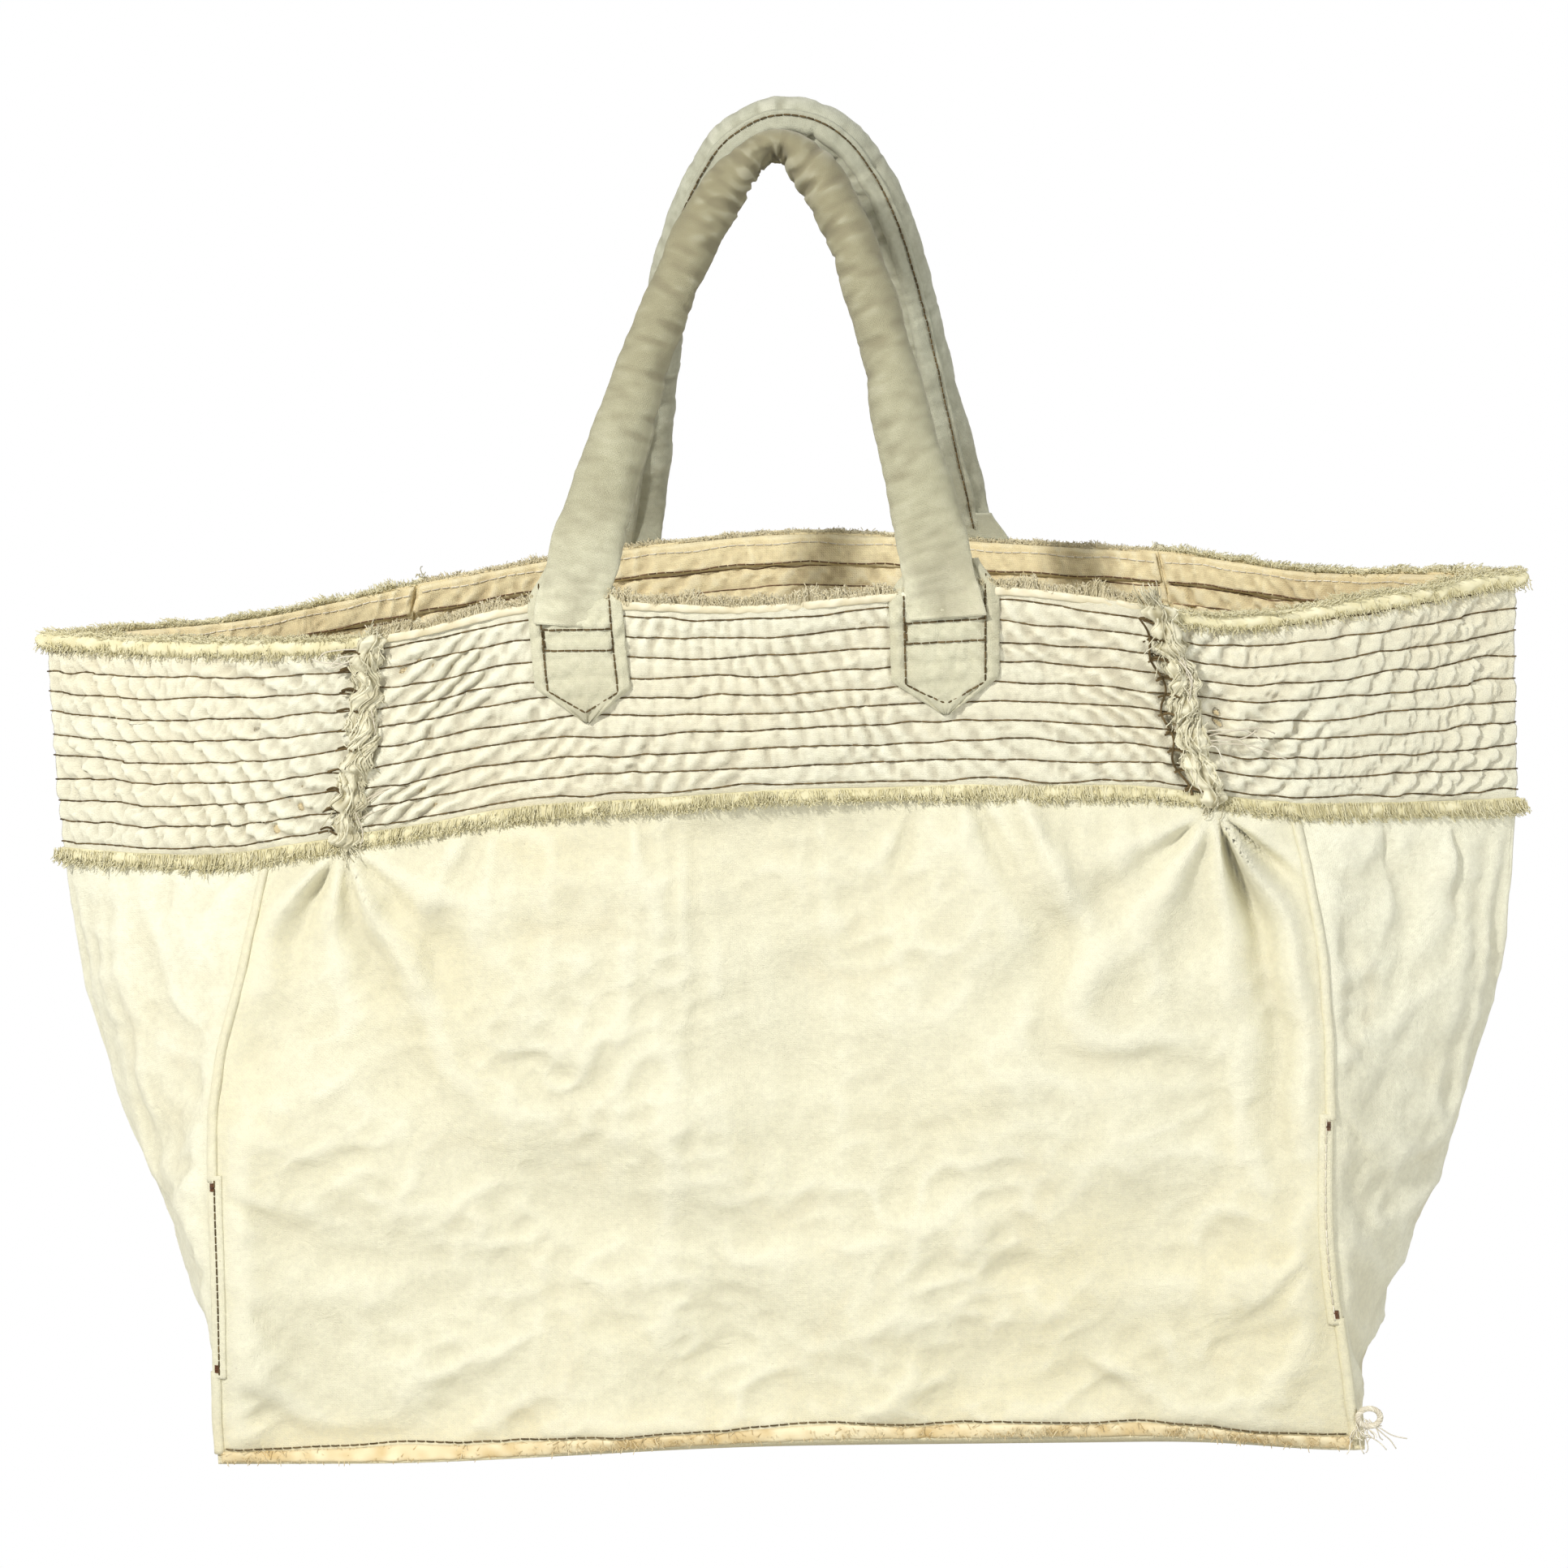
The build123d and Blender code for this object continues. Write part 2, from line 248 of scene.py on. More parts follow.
def settle(points):
    # Slow sag of the whole soft bag: a few millimetres of smooth noise that fades out at the floor.
    lift = smooth(points[..., 2], 5, 120)[..., None]
    sway = np.stack([ripple(points, 230, 3), ripple(points, 210, 5), 0.4 * ripple(points, 260, 7)], -1)
    back = smooth(points[..., 1], -20, 60) * smooth(points[..., 2], 200, 360)
    x, y, z = points[..., 0], points[..., 1], points[..., 2]
    forward = smooth(-y, 15, 60)
    # the front sags inwards just before its side seams, most on the right, and the back leans to the right
    right = 6 * back - 9 * forward * smooth(x, 110, 235) * bump(z, 85, 80)
    right = right - 5 * forward * smooth(-x, 140, 240) * bump(z, 165, 50)
    return points + 2.4 * lift * sway + np.stack([right, 0 * back, 0 * back], -1)


def curl(x):
    # How far the front edge of the base turns up from the floor, most to the right of the middle.
    return 9.0 * smooth(x, -185, 40) * (1 - 0.75 * smooth(x, 150, 244))


def faceDepth(level, x, t):
    # Depth of the front or back: a parabola across, deepest in the middle, less t millimetres.
    return level[3] - t - (level[3] - level[2]) * (x / level[1]) ** 2


def facePoint(side, x, z, level, t):
    # Point of the front (side -1) or back (side 1) at x and height z.
    return np.stack(np.broadcast_arrays(x, side * faceDepth(level, x, t), z), -1)


folds = {
    # x, z of the gather, direction in degrees from straight down (positive to the right), width, length,
    # height
    "front": [(-181, 264, -46, 7, 90, 6), (-181, 264, -28, 6, 60, -4.5), (-181, 264, -9, 6, 70, 4),
              (-181, 264, 8, 7, 80, -4), (-181, 264, 26, 7, 110, 6.5), (-181, 264, 44, 8, 80, -4),
              (-181, 264, 64, 8, 70, 3), (181, 272, -66, 8, 70, 2.5), (181, 272, -48, 9, 130, -3.5),
              (181, 272, -30, 9, 130, 4), (181, 272, -12, 7, 80, -2.5), (181, 272, 6, 6, 80, 5),
              (181, 272, 18, 5, 100, -11), (181, 272, 30, 6, 100, 12), (181, 272, 42, 5, 80, -9),
              (-235, 120, 60, 14, 150, -3.5), (235, 90, -70, 14, 150, 3.6), (-60, 284, 8, 9, 110, 2.2),
              (60, 284, -12, 10, 120, -2.6), (-100, 60, -64, 10, 120, 2.8), (120, 50, 66, 10, 120, 2.8),
              (92, 300, 33, 6, 230, 6), (72, 300, 33, 6, 200, -4.5), (-120, 300, -24, 7, 160, 3.5)],
    "back": [(-181, 270, -30, 9, 80, 5.0), (-181, 270, 6, 9, 80, -4.0), (-181, 270, 34, 10, 90, 4.0),
             (181, 276, -40, 9, 80, 4.2), (181, 276, -10, 9, 90, -4.0), (181, 276, 24, 9, 80, 5.2),
             (0, 284, 4, 10, 120, 2.5)],
    "left": [(-70, 262, 10, 12, 110, -4.0), (0, 250, 12, 10, 130, 3.5), (-110, 262, 30, 9, 90, 5.0),
             (70, 262, -10, 12, 110, 3.5)],
    "right": [(-75, 268, 16, 10, 120, -5.0), (-110, 268, 4, 8, 110, 6.0), (-40, 262, -6, 10, 120, 4.4),
              (70, 268, -12, 12, 120, 3.5)],
}


def draped(part, across, z, v, edge):
    # Height of the folds that fan out from the gathers, of broad slack and of fine rumples, zero at the
    # sewn edges.
    flat = onCloth(across, z)
    bend = 9 * ripple(flat, 90, 31)
    total = 0.0
    for x0, z0, lean, width, reach, height in folds[part]:
        dx, dz = across - x0, z0 - z
        away = np.hypot(dx, dz)
        turn = np.degrees(np.arctan2(dx, np.maximum(dz, 1e-3))) + bend * smooth(away, 10, 90)
        total = total + height * bump(turn, lean, width) * np.exp(-away / reach) * smooth(away, 2, 22)
    seed = {"front": 40, "back": 50, "left": 60, "right": 70}[part]
    strength = 1.0 if part in ("front", "back") else mix(0.8, 1.4, smooth(v, 0, 0.5))
    broad = 3.6 * ripple(flat, 120, seed) + 1.5 * ripple(flat, 60, seed + 1, stretch=(1.3, 0.8, 1))
    # size and depth in millimetres, and the stretch of each set of creases
    creases = [(46, 2.1, (1.6, 0.8, 1)), (26, 1.25, (1.3, 0.9, 1)), (15, 0.6, (1.2, 1, 1)),
               (8.5, 0.26, (1.2, 0.9, 1))]
    fine = 0
    for n, (size, depth, way) in enumerate(creases):
        fine = fine + depth * (1 - np.abs(ripple(flat, size, seed + 3 + n, stretch=way)))
    patchy = 0.75 + 0.45 * ripple(flat, 90, seed + 9)
    return (1.3 * total + broad + strength * mix(1.3, 0.7, v) * patchy * fine) * edge


panelGrid = {"columns": 240, "rows": 150}


def panelPoint(name, a, v, t, folded=1.0):
    # Front or back panel: a from left -1 to right 1, v from base 0 to hem 1, t inside the surface.
    side = -1 if name == "front" else 1
    level = bodyLevel(v)
    x = a * level[1]
    z = mix(floorLine + (curl(x) if side < 0 else 0), edgeHeight("hem", x, float(side > 0)), v)
    edge = smooth(1 - np.abs(a), 0, 0.07) * smooth(v, 0, 0.05) * smooth(1 - v, -0.02, 0.05)
    out = folded * draped(name, x, z, v, edge)
    belly = 5.0 * (1 - a**2) * np.sin(np.pi * np.clip(v, 0, 1)) ** 1.2
    return settle(facePoint(side, x, z, level, t - out + belly * 0.35))


def inset(level, t):
    # The outline moved t millimetres inwards, square to its slanting side.
    half = np.arctan2(level[2], level[0] - level[1])
    return level[0] - t / np.sin(half), level[1] - t * np.sin(half), level[2] - t


def gussetPoint(name, q, v, t, folded=1.0):
    # Side piece: q from the front seam -1 through the wing fold 0 to the back seam 1.
    side = -1 if name == "left" else 1
    level = bodyLevel(v)
    reach, seam, depth = inset(level, t)
    q, v, reach, seam, depth = np.broadcast_arrays(q, v, reach, seam, depth)
    x = seam + (reach - seam) * (1 - np.abs(q) ** level[4])
    back = smooth(q, -0.4, 0.4)
    z = mix(floorLine + curl(side * x) * smooth(-q, 0.7, 1), edgeHeight("hem", side * x, back), v)
    edge = smooth(1 - np.abs(q), 0, 0.12) * smooth(v, 0, 0.06) * smooth(1 - v, -0.02, 0.06)
    out = folded * draped(name, q * 110, z, v, edge * (1 - 0.75 * bump(q, 0, 0.16)))
    lean = np.abs(q) * (1 - 0.5 * v)
    points = np.stack([side * (x + out * (1 - 0.6 * lean)), q * depth + np.sign(q) * out * 0.6 * lean, z],
                      -1)
    return settle(points)


def panelUv(across, up):
    # Flat cloth coordinates in metres.
    return np.stack(np.broadcast_arrays(across, up), -1) / 1000


slack = {"quality": 7, "frames": 26, "rows": 62, "columns": {"panel": 100, "gusset": 64},
         "extra": {"panel": 0.009, "gusset": 0.013},
         "bend": 0.8, "stretch": 12.0, "limit": 4.0}


def finer(values, count, axis):
    # Cubic resampling of a grid along one axis: each new point is a Catmull-Rom blend of its four
    # neighbours.
    values = np.moveaxis(values, axis, 0)
    at = np.linspace(0, len(values) - 1, count)
    i = np.clip(at.astype(int), 0, len(values) - 2)
    t = (at - i).reshape(-1, *[1] * (values.ndim - 1))
    p = [values[np.clip(i + k, 0, len(values) - 1)] for k in (-1, 0, 1, 2)]
    curve = p[1] + 0.5 * t * (p[2] - p[0] + t * (2 * p[0] - 5 * p[1] + 4 * p[2] - p[3]
                                                 + t * (3 * (p[1] - p[2]) + p[3] - p[0])))
    return np.moveaxis(curve, 0, axis)


def slackened(kind, place, material):
    # How far the cloth of a sewn piece moves when it is cut a little too large and settles between its
    # seams.
    rows, cols = slack["rows"], slack["columns"][kind]
    points = place(np.linspace(-1, 1, cols)[None, :], np.linspace(0, 1, rows)[:, None], 0.0)
    rough = points + 0.9 * np.stack([ripple(points, 48, 121 + n) for n in range(3)], -1)
    piece = makeMesh("slackCloth", rough, [quadGrid(rows, cols)], material)
    index = np.arange(rows * cols).reshape(rows, cols)
    sewn = np.unique(np.concatenate([index[0], index[-1], index[:, 0], index[:, -1]]))
    piece.vertex_groups.new(name="sewn").add(sewn.tolist(), 1.0, "REPLACE")
    cloth = piece.modifiers.new("Cloth", "CLOTH")
    cloth.settings.quality = slack["quality"]
    cloth.settings.mass = 0.25
    cloth.settings.tension_stiffness = cloth.settings.compression_stiffness = slack["stretch"]
    cloth.settings.shear_stiffness = slack["stretch"] / 2
    cloth.settings.bending_stiffness = slack["bend"]
    cloth.settings.vertex_group_mass = "sewn"
    cloth.settings.shrink_min = -slack["extra"][kind]
    cloth.settings.air_damping = 6
    cloth.collision_settings.use_collision = False
    for frameNumber in range(1, slack["frames"] + 1):
        bpy.context.scene.frame_set(frameNumber)
    evaluated = piece.evaluated_get(bpy.context.evaluated_depsgraph_get())
    moved = np.zeros(rows * cols * 3, np.float32)
    evaluated.data.vertices.foreach_get("co", moved)
    bpy.context.scene.frame_set(1)
    bpy.data.objects.remove(piece)
    shift = moved.reshape(rows, cols, 3) * 1000.0 - rough
    shift = shift - 0.6 * averaged(averaged(shift, 7, 0), 9, 1)
    size = np.linalg.norm(shift, axis=-1, keepdims=True)
    print("cloth", kind, "moved by up to", round(float(size.max()), 1), "mm")
    return shift * np.tanh(size / slack["limit"]) * slack["limit"] / np.maximum(size, 1e-6)


def withSlack(kind, place, a, v, material):
    # The outer surface of a sewn piece with its settled slack, which fades out towards the seams.
    shift = slackened(kind, place, material)
    shift = finer(finer(shift, v.shape[0], 0), a.shape[1], 1)
    fade = smooth(1 - np.abs(a), 0.02, 0.1) * smooth(v, 0.02, 0.09) * smooth(1 - v, 0.01, 0.06)
    fade = fade * (1 - 0.8 * bump(a, 0, 0.1)) if kind == "gusset" else fade
    return place(a, v, 1.0) + shift * fade[..., None]


def thickened(outer, inner, thickness):
    # Inner surface of a wall, parallel to the outer one and on the side of the rough inner outline.
    across, up = np.gradient(outer, axis=1), np.gradient(outer, axis=0)
    normal = unit(np.cross(across, up))
    return outer + normal * np.sign((normal * (inner - outer)).sum()) * thickness


def buildPanel(name, material):
    # Front or back piece: a settled outer surface and an inner one 1.7 mm behind it.
    a = np.linspace(-1, 1, panelGrid["columns"])[None, :]
    v = np.linspace(0, 1, panelGrid["rows"])[:, None]
    outer = withSlack("panel", lambda a, v, folded: panelPoint(name, a, v, 0, folded), a, v, material)
    inner = thickened(outer, panelPoint(name, a, v, 8), 1.7)
    return slab(name + "Panel", outer, inner, panelUv(a * 240, v * 286), material,
                ridges(outer, inner, 4, 1.6))


def buildGusset(name, material):
    # Side piece, made in the same way; its columns crowd towards the wing fold.
    q = np.linspace(-1, 1, 131)[None, :]
    v = np.linspace(0, 1, 110)[:, None]
    outer = withSlack("gusset", lambda q, v, folded: gussetPoint(name, np.sign(q) * np.abs(q) ** 1.15, v, 0,
                                                                 folded), q, v, material)
    inner = thickened(outer, gussetPoint(name, q * 0.9, v, 8), 1.7)
    return slab(name + "Gusset", outer, inner, panelUv(q * 105 + 400, v * 286), material,
                ridges(outer, inner, 4, 1.6))


bands = ("front", "back", "left", "right")


def bandPoint(part, s, w, t):
    # Band piece: s from one gathered seam -1 to the other 1, w from hem 0 to rim 1, t inside the surface.
    s, w = np.broadcast_arrays(np.asarray(s, float), np.asarray(w, float))
    level = bandLevel(w)
    gather = mix(gatherHem, gatherRim, w)
    if part in ("front", "back"):
        side = -1 if part == "front" else 1
        x, back = s * gather, float(side > 0)
        depth = side * faceDepth(level, x, t)
    else:
        side = -1 if part == "left" else 1
        reach, seam, seamDepth = inset(level, t)
        x = reach - (reach - gather) * np.abs(s)
        wing = seamDepth * (np.maximum(reach - x, 0) / (reach - seam)) ** (1 / 1.1)
        depth = np.sign(s) * np.where(x < seam, faceDepth(level, x, t), wing)
        x, back = side * x, smooth(s, -0.3, 0.3)
    z = mix(edgeHeight("hem", x, back), edgeHeight("rim", x, back), w)
    return settle(np.stack([x, depth + 0 * x, z], -1))


def rowShare(w):
    # Which row of stitches is at w, counted from the rim, whole at a row.
    return (1 - w - firstRow) / rowStep


def quilted(part, s, w):
    # Height of the quilting: each channel puffs out between two rows, crossed by short slanting puckers
    # that grow towards the gathers; the raw margins beyond the first and last row stay flatter.
    s, w = np.broadcast_arrays(np.asarray(s, float), np.asarray(w, float))
    row = rowShare(w)
    inside = smooth(row, -0.25, 0.1) * smooth(rowCount - 1 - row, -0.25, 0.1)
    puff = np.abs(np.sin(np.pi * row)) ** 0.65
    length = {"front": 170, "back": 170, "left": 150, "right": 150}[part]
    run = s * length
    channel = np.floor(row)
    seed = {"front": 11, "back": 13, "left": 17, "right": 19}[part]
    spot = np.stack([run, w * 90, 0 * w], -1)
    drift = 2.2 * ripple(spot, 60, seed) + 0.9 * np.sin(channel * 2.3 + seed)
    slope = {"front": -0.75, "back": 0.7, "left": 0.65, "right": 0.6}[part]
    lean = slope * np.where(part == "front", np.tanh(run / 60), 1.0)
    slant = np.sin(2 * np.pi * (run - 1.25 * lean * w * 92) / 12.5 + drift * 1.3)
    cross = np.sin(2 * np.pi * (run + 0.9 * lean * w * 92) / 7.5 + drift * 2.5)
    near = bump(np.abs(s), 1, 0.28) if part in ("front", "back") else bump(np.abs(s), 1, 0.35)
    patchy = 0.75 + 0.55 * ripple(spot, 38, seed + 1)
    pucker = (0.95 * slant + 0.28 * cross) * (0.75 + 0.9 * near) * patchy
    broad = 1.1 * ripple(spot, 70, seed + 2) + 0.5 * ripple(spot, 30, seed + 3)
    wide = 0.6 - np.abs(ripple(spot, 8, seed + 4, stretch=(0.8, 1.3, 1)))
    narrow = 0.6 - np.abs(ripple(spot, 4.5, seed + 5))
    crumple = 0.5 * wide + 0.3 * narrow
    fold = 1.0 if part in ("front", "back") else 1 - 0.75 * bump(s, 0, 0.05)
    relief = 0.95 * puff + (1.25 * pucker + 1.5 * crumple) * (0.28 + 0.72 * puff)
    height = inside * relief + broad * (0.6 + 0.6 * near)
    return 2.1 * np.tanh(height / 2.1) * fold


def wander(part, s, row):
    # Small waver of a sewn row, as a share of the band's height.
    spot = onCloth(s * 160, row * 40.0)
    return 0.0065 * ripple(spot, 46, 90 + len(part)) + 0.0035 * ripple(spot, 15, 91 + len(part))


def bandSkin(part, s, w, lift=0.0):
    # Outside of the band with its quilting, lift millimetres above the cloth.
    s, w = np.broadcast_arrays(np.asarray(s, float), np.asarray(w, float))
    return bandPoint(part, s, w, -quilted(part, s, w + wander(part, s, rowShare(w))) - lift)


def bandLining(part, s, w, lift=0.0):
    # Inner surface of the band: the same quilting, nine tenths as high, 3.4 mm behind the outside.
    s, w = np.broadcast_arrays(np.asarray(s, float), np.asarray(w, float))
    return bandPoint(part, s, w, 3.4 + 0.9 * quilted(part, s, w + wander(part, s, rowShare(w))) + lift)


def bandColumns(part):
    # Shares across a band piece, closer together at the wing fold of a side piece.
    if part in ("front", "back"):
        return np.linspace(-1, 1, 250)
    half = np.concatenate([np.linspace(0, 0.06, 14), np.linspace(0.06, 1, 190)[1:]])
    return np.concatenate([-half[::-1], half[1:]])


def buildBand(part, outside, inside):
    # Outer cloth and lining of a band piece, which share a middle surface; the rows of points follow
    # the rows of stitches.
    s = bandColumns(part)[None, :]
    last = 1 - firstRow - rowStep * (rowCount - 1)
    sewn = last + rowStep * np.arange(0, rowCount - 1, 1 / 12)
    w = np.concatenate([np.linspace(-0.01, last, 11)[:-1], sewn, np.linspace(1 - firstRow, 1, 9)])[:, None]
    w = w - wander(part, s, rowShare(w)) * smooth(w, 0.01, 0.06) * smooth(1 - w, 0.0, 0.05)
    reach = 170 if part in ("front", "back") else 150
    uv = panelUv(s * reach + 900, w * 92)
    s = s + 0 * w
    skin, middle, lining = bandSkin(part, s, w), bandPoint(part, s, w, 1.7), bandLining(part, s, w)
    slab(part + "Band", skin, middle, uv, outside, ridges(skin, middle, 4, 1.5))
    slab(part + "BandLining", middle + 0 * skin, lining, uv + 3, inside, ridges(lining, middle, 4, 1.2))
    for name, node in ((part + "Band", part + "_band"), (part + "BandLining", part + "_band_lining")):
        hang(bpy.data.objects[name], "bag", node,
             slot="quilted_canvas" if "Lining" not in name else "inner_canvas")


def sewnRow(skin, starts, ends, row, sag=-0.06, rise=0.24, steps=5):
    # Paths of stitches along a surface: each dips into the cloth at its two ends.
    share = np.linspace(0, 1, steps)[None, :]
    s = starts[:, None] + (ends - starts)[:, None] * share
    lift = -sag + (rise + sag) * np.sin(np.pi * share) ** 0.5
    return skin(s, row, lift)


def stitchBand(part, thread, inner):
    # Ten rows of stitches outside and inside, one every 4.1 mm, on rows that waver with the quilting.
    reach = 171 if part in ("front", "back") else 151
    shown, hidden = [], []
    for k in range(rowCount):
        count = int(reach * 2 / 4.1)
        edges = np.linspace(-0.985, 0.985, count + 1)
        a, b = edges[:-1] - 0.02 * np.diff(edges), edges[1:] + 0.02 * np.diff(edges)
        target = 1 - firstRow - rowStep * k
        def level(s):
            return target - wander(part, s, float(k))
        shown.append(sewnRow(lambda s, w, lift: bandSkin(part, s, level(s), lift), a, b, 0))
        hidden.append(sewnRow(lambda s, w, lift: bandLining(part, s, level(s), lift), a, b, 0))
    rng = np.random.default_rng(5)
    for name, paths, size, kind in ((part + "BandStitches", shown, 1.0, thread),
                                    (part + "LiningStitches", hidden, 0.75, inner)):
        paths = np.concatenate(paths)
        radius = size * np.array([0.27, 0.36, 0.38, 0.36, 0.27])[None]
        hang(tubes(name, paths, radius, kind, sides=5, tone=rng.random(len(paths))), "bag")


def strands(part, s, w, t, up, out, along, steps, rng, wild=0.25):
    # Thread paths that start on the band at (s, w, t) and leave it by up, out and along millimetres. The
    # climb eases in, the outward curl grows with the square of the way, and a little noise tangles them.
    root = bandPoint(part, s, w, t)
    upward = unit(bandPoint(part, s, w + 0.02, t) - root)
    outward = unit(bandPoint(part, s, w, t - 1) - root)
    sideways = unit(np.cross(upward, outward))
    share = np.linspace(0, 1, steps)[None, :, None]
    bend = [np.asarray(v)[:, None, None] for v in (up, out, along)]
    path = (root[:, None] + upward[:, None] * bend[0] * np.sin(share * 1.45)
            + outward[:, None] * bend[1] * share**1.6)
    path = path + sideways[:, None] * bend[2] * share
    return path + rng.normal(0, wild, path.shape) * share


edges = {
    "rim": {"perMm": 4.6, "height": (2.4, 5.0), "radius": 0.19},
    "hem": {"perMm": 6.0, "height": (4.2, 6.6), "radius": 0.2},
}


def rimFringe(part, material, rng):
    # Three layers of cut yarns along the rim that lean out, up and in, over a rolled edge: its height
    # is half a sine wave across.
    reach = 326 if part in ("front", "back") else 300
    count = int(reach * edges["rim"]["perMm"])
    wing = 0.0 if part in ("front", "back") else 1.0
    short = {"back": 0.55, "front": 1.35}.get(part, 1.0)
    paths, tones = [], []
    for t, lean in ((-0.4, 1.0), (1.4, 0.2), (3.2, -0.7)):
        s = rng.uniform(-1, 1, count)
        clump = ripple(np.stack([s * reach / 2, 0 * s, 0 * s + t], -1), 14, 33)
        tall = rng.uniform(*edges["rim"]["height"], count) * (1 + 0.25 * clump)
        curl = lean * (0.8 + 2.6 * wing * (np.abs(s) < 0.93)) * rng.uniform(0.5, 1.3, count)
        paths.append(strands(part, s, 0.984 + 0 * s, t, tall * short * (1 - 0.25 * wing), curl,
                             rng.normal(0, 1.1, count) + clump, 5, rng, 0.4))
        tones.append(rng.random(count) * 0.6 + 0.25 * wing)
    piece = tubes(part + "RimFringe", np.concatenate(paths), edges["rim"]["radius"], material,
                  tone=np.concatenate(tones))
    hang(piece, "bag", part + "_rim_fringe", slot="raw_edge")
    s = np.linspace(-1, 1, 300)[None, :]
    share = np.linspace(0, 1, 11)[:, None]
    w = mix(0.968 - 0.034 * wing, 1.008, share)
    roll = 0.5 + (0.6 + 1.1 * wing) * np.sin(share * np.pi) ** 0.7
    fuzz = 0.35 * ripple(onCloth(s * reach / 2, w * 90), 6, 35)
    # The roll's tone is lighter towards its top edge, and lighter still where its fuzz stands out, which is
    # painted light and shade.
    strip = slab(part + "RimEdge", bandPoint(part, s, w, -roll - fuzz), bandPoint(part, s, w, 0.4 + 0 * s),
                 panelUv(s * 160, w * 90 + 40), material, tone=0.35 + 0.3 * share + 0.6 * fuzz)
    hang(strip, "bag", slot="raw_edge")
    if wing:
        s = rng.uniform(-0.98, 0.98, count)
        paths = strands(part, s, rng.uniform(0.955, 0.99, count), -1.0 - rng.random(count),
                        -rng.uniform(2, 5, count),
                        rng.uniform(0.4, 1.6, count), rng.normal(0, 1.6, count), 5, rng, 0.35)
        hang(tubes(part + "RimFuzz", paths, 0.2, material, tone=rng.random(count)), "bag", slot="raw_edge")


def hemFringe(part, material, rng):
    # One thick layer of yarns that hang from the hem in clumps, over a rolled edge like the one above.
    reach = 358 if part in ("front", "back") else 300
    count = int(reach * edges["hem"]["perMm"])
    s = rng.uniform(-1.0, 1.0, count)
    clump = ripple(np.stack([s * reach / 2, 0 * s, 0 * s], -1), 7, 37)
    slow = ripple(np.stack([s * reach / 2, 0 * s, 0 * s + 40], -1), 60, 38)
    long = rng.uniform(*edges["hem"]["height"], count) * (1 + 0.12 * slow + 0.1 * clump)
    out = rng.uniform(1.2, 2.6, count) + 0.4 * clump
    along = rng.normal(0, 1.5, count) + 0.9 * clump
    start = 0.040 + 0.004 * slow + rng.uniform(-0.02, 0.004, count)
    paths = strands(part, s, start, -0.9 - rng.random(count), -long, out, along, 6, rng, 0.35)
    piece = tubes(part + "HemFringe", paths, edges["hem"]["radius"], material, tone=rng.random(count))
    hang(piece, "bag", part + "_hem_fringe", slot="raw_edge")
    s = np.linspace(-1, 1, 340)[None, :]
    share = np.linspace(0, 1, 11)[:, None]
    lumps = ripple(onCloth(s * reach / 2, share * 6), 8, 39)
    waver = ripple(onCloth(s * reach / 2, 0 * share), 60, 38)
    w = mix(0.040, -0.030, share) + 0.003 * waver
    roll = 0.5 + 1.3 * np.sin(share * np.pi) ** 0.7 + 0.3 * lumps
    # The roll is lighter where its lumps stand out and darker between them: painted light and shade.
    strip = slab(part + "HemEdge", bandPoint(part, s, w, -roll), bandPoint(part, s, w, -0.2 + 0 * roll),
                 panelUv(s * 170, share * 6 + 40), material, tone=0.3 + 0.2 * lumps)
    hang(strip, "bag", slot="raw_edge")


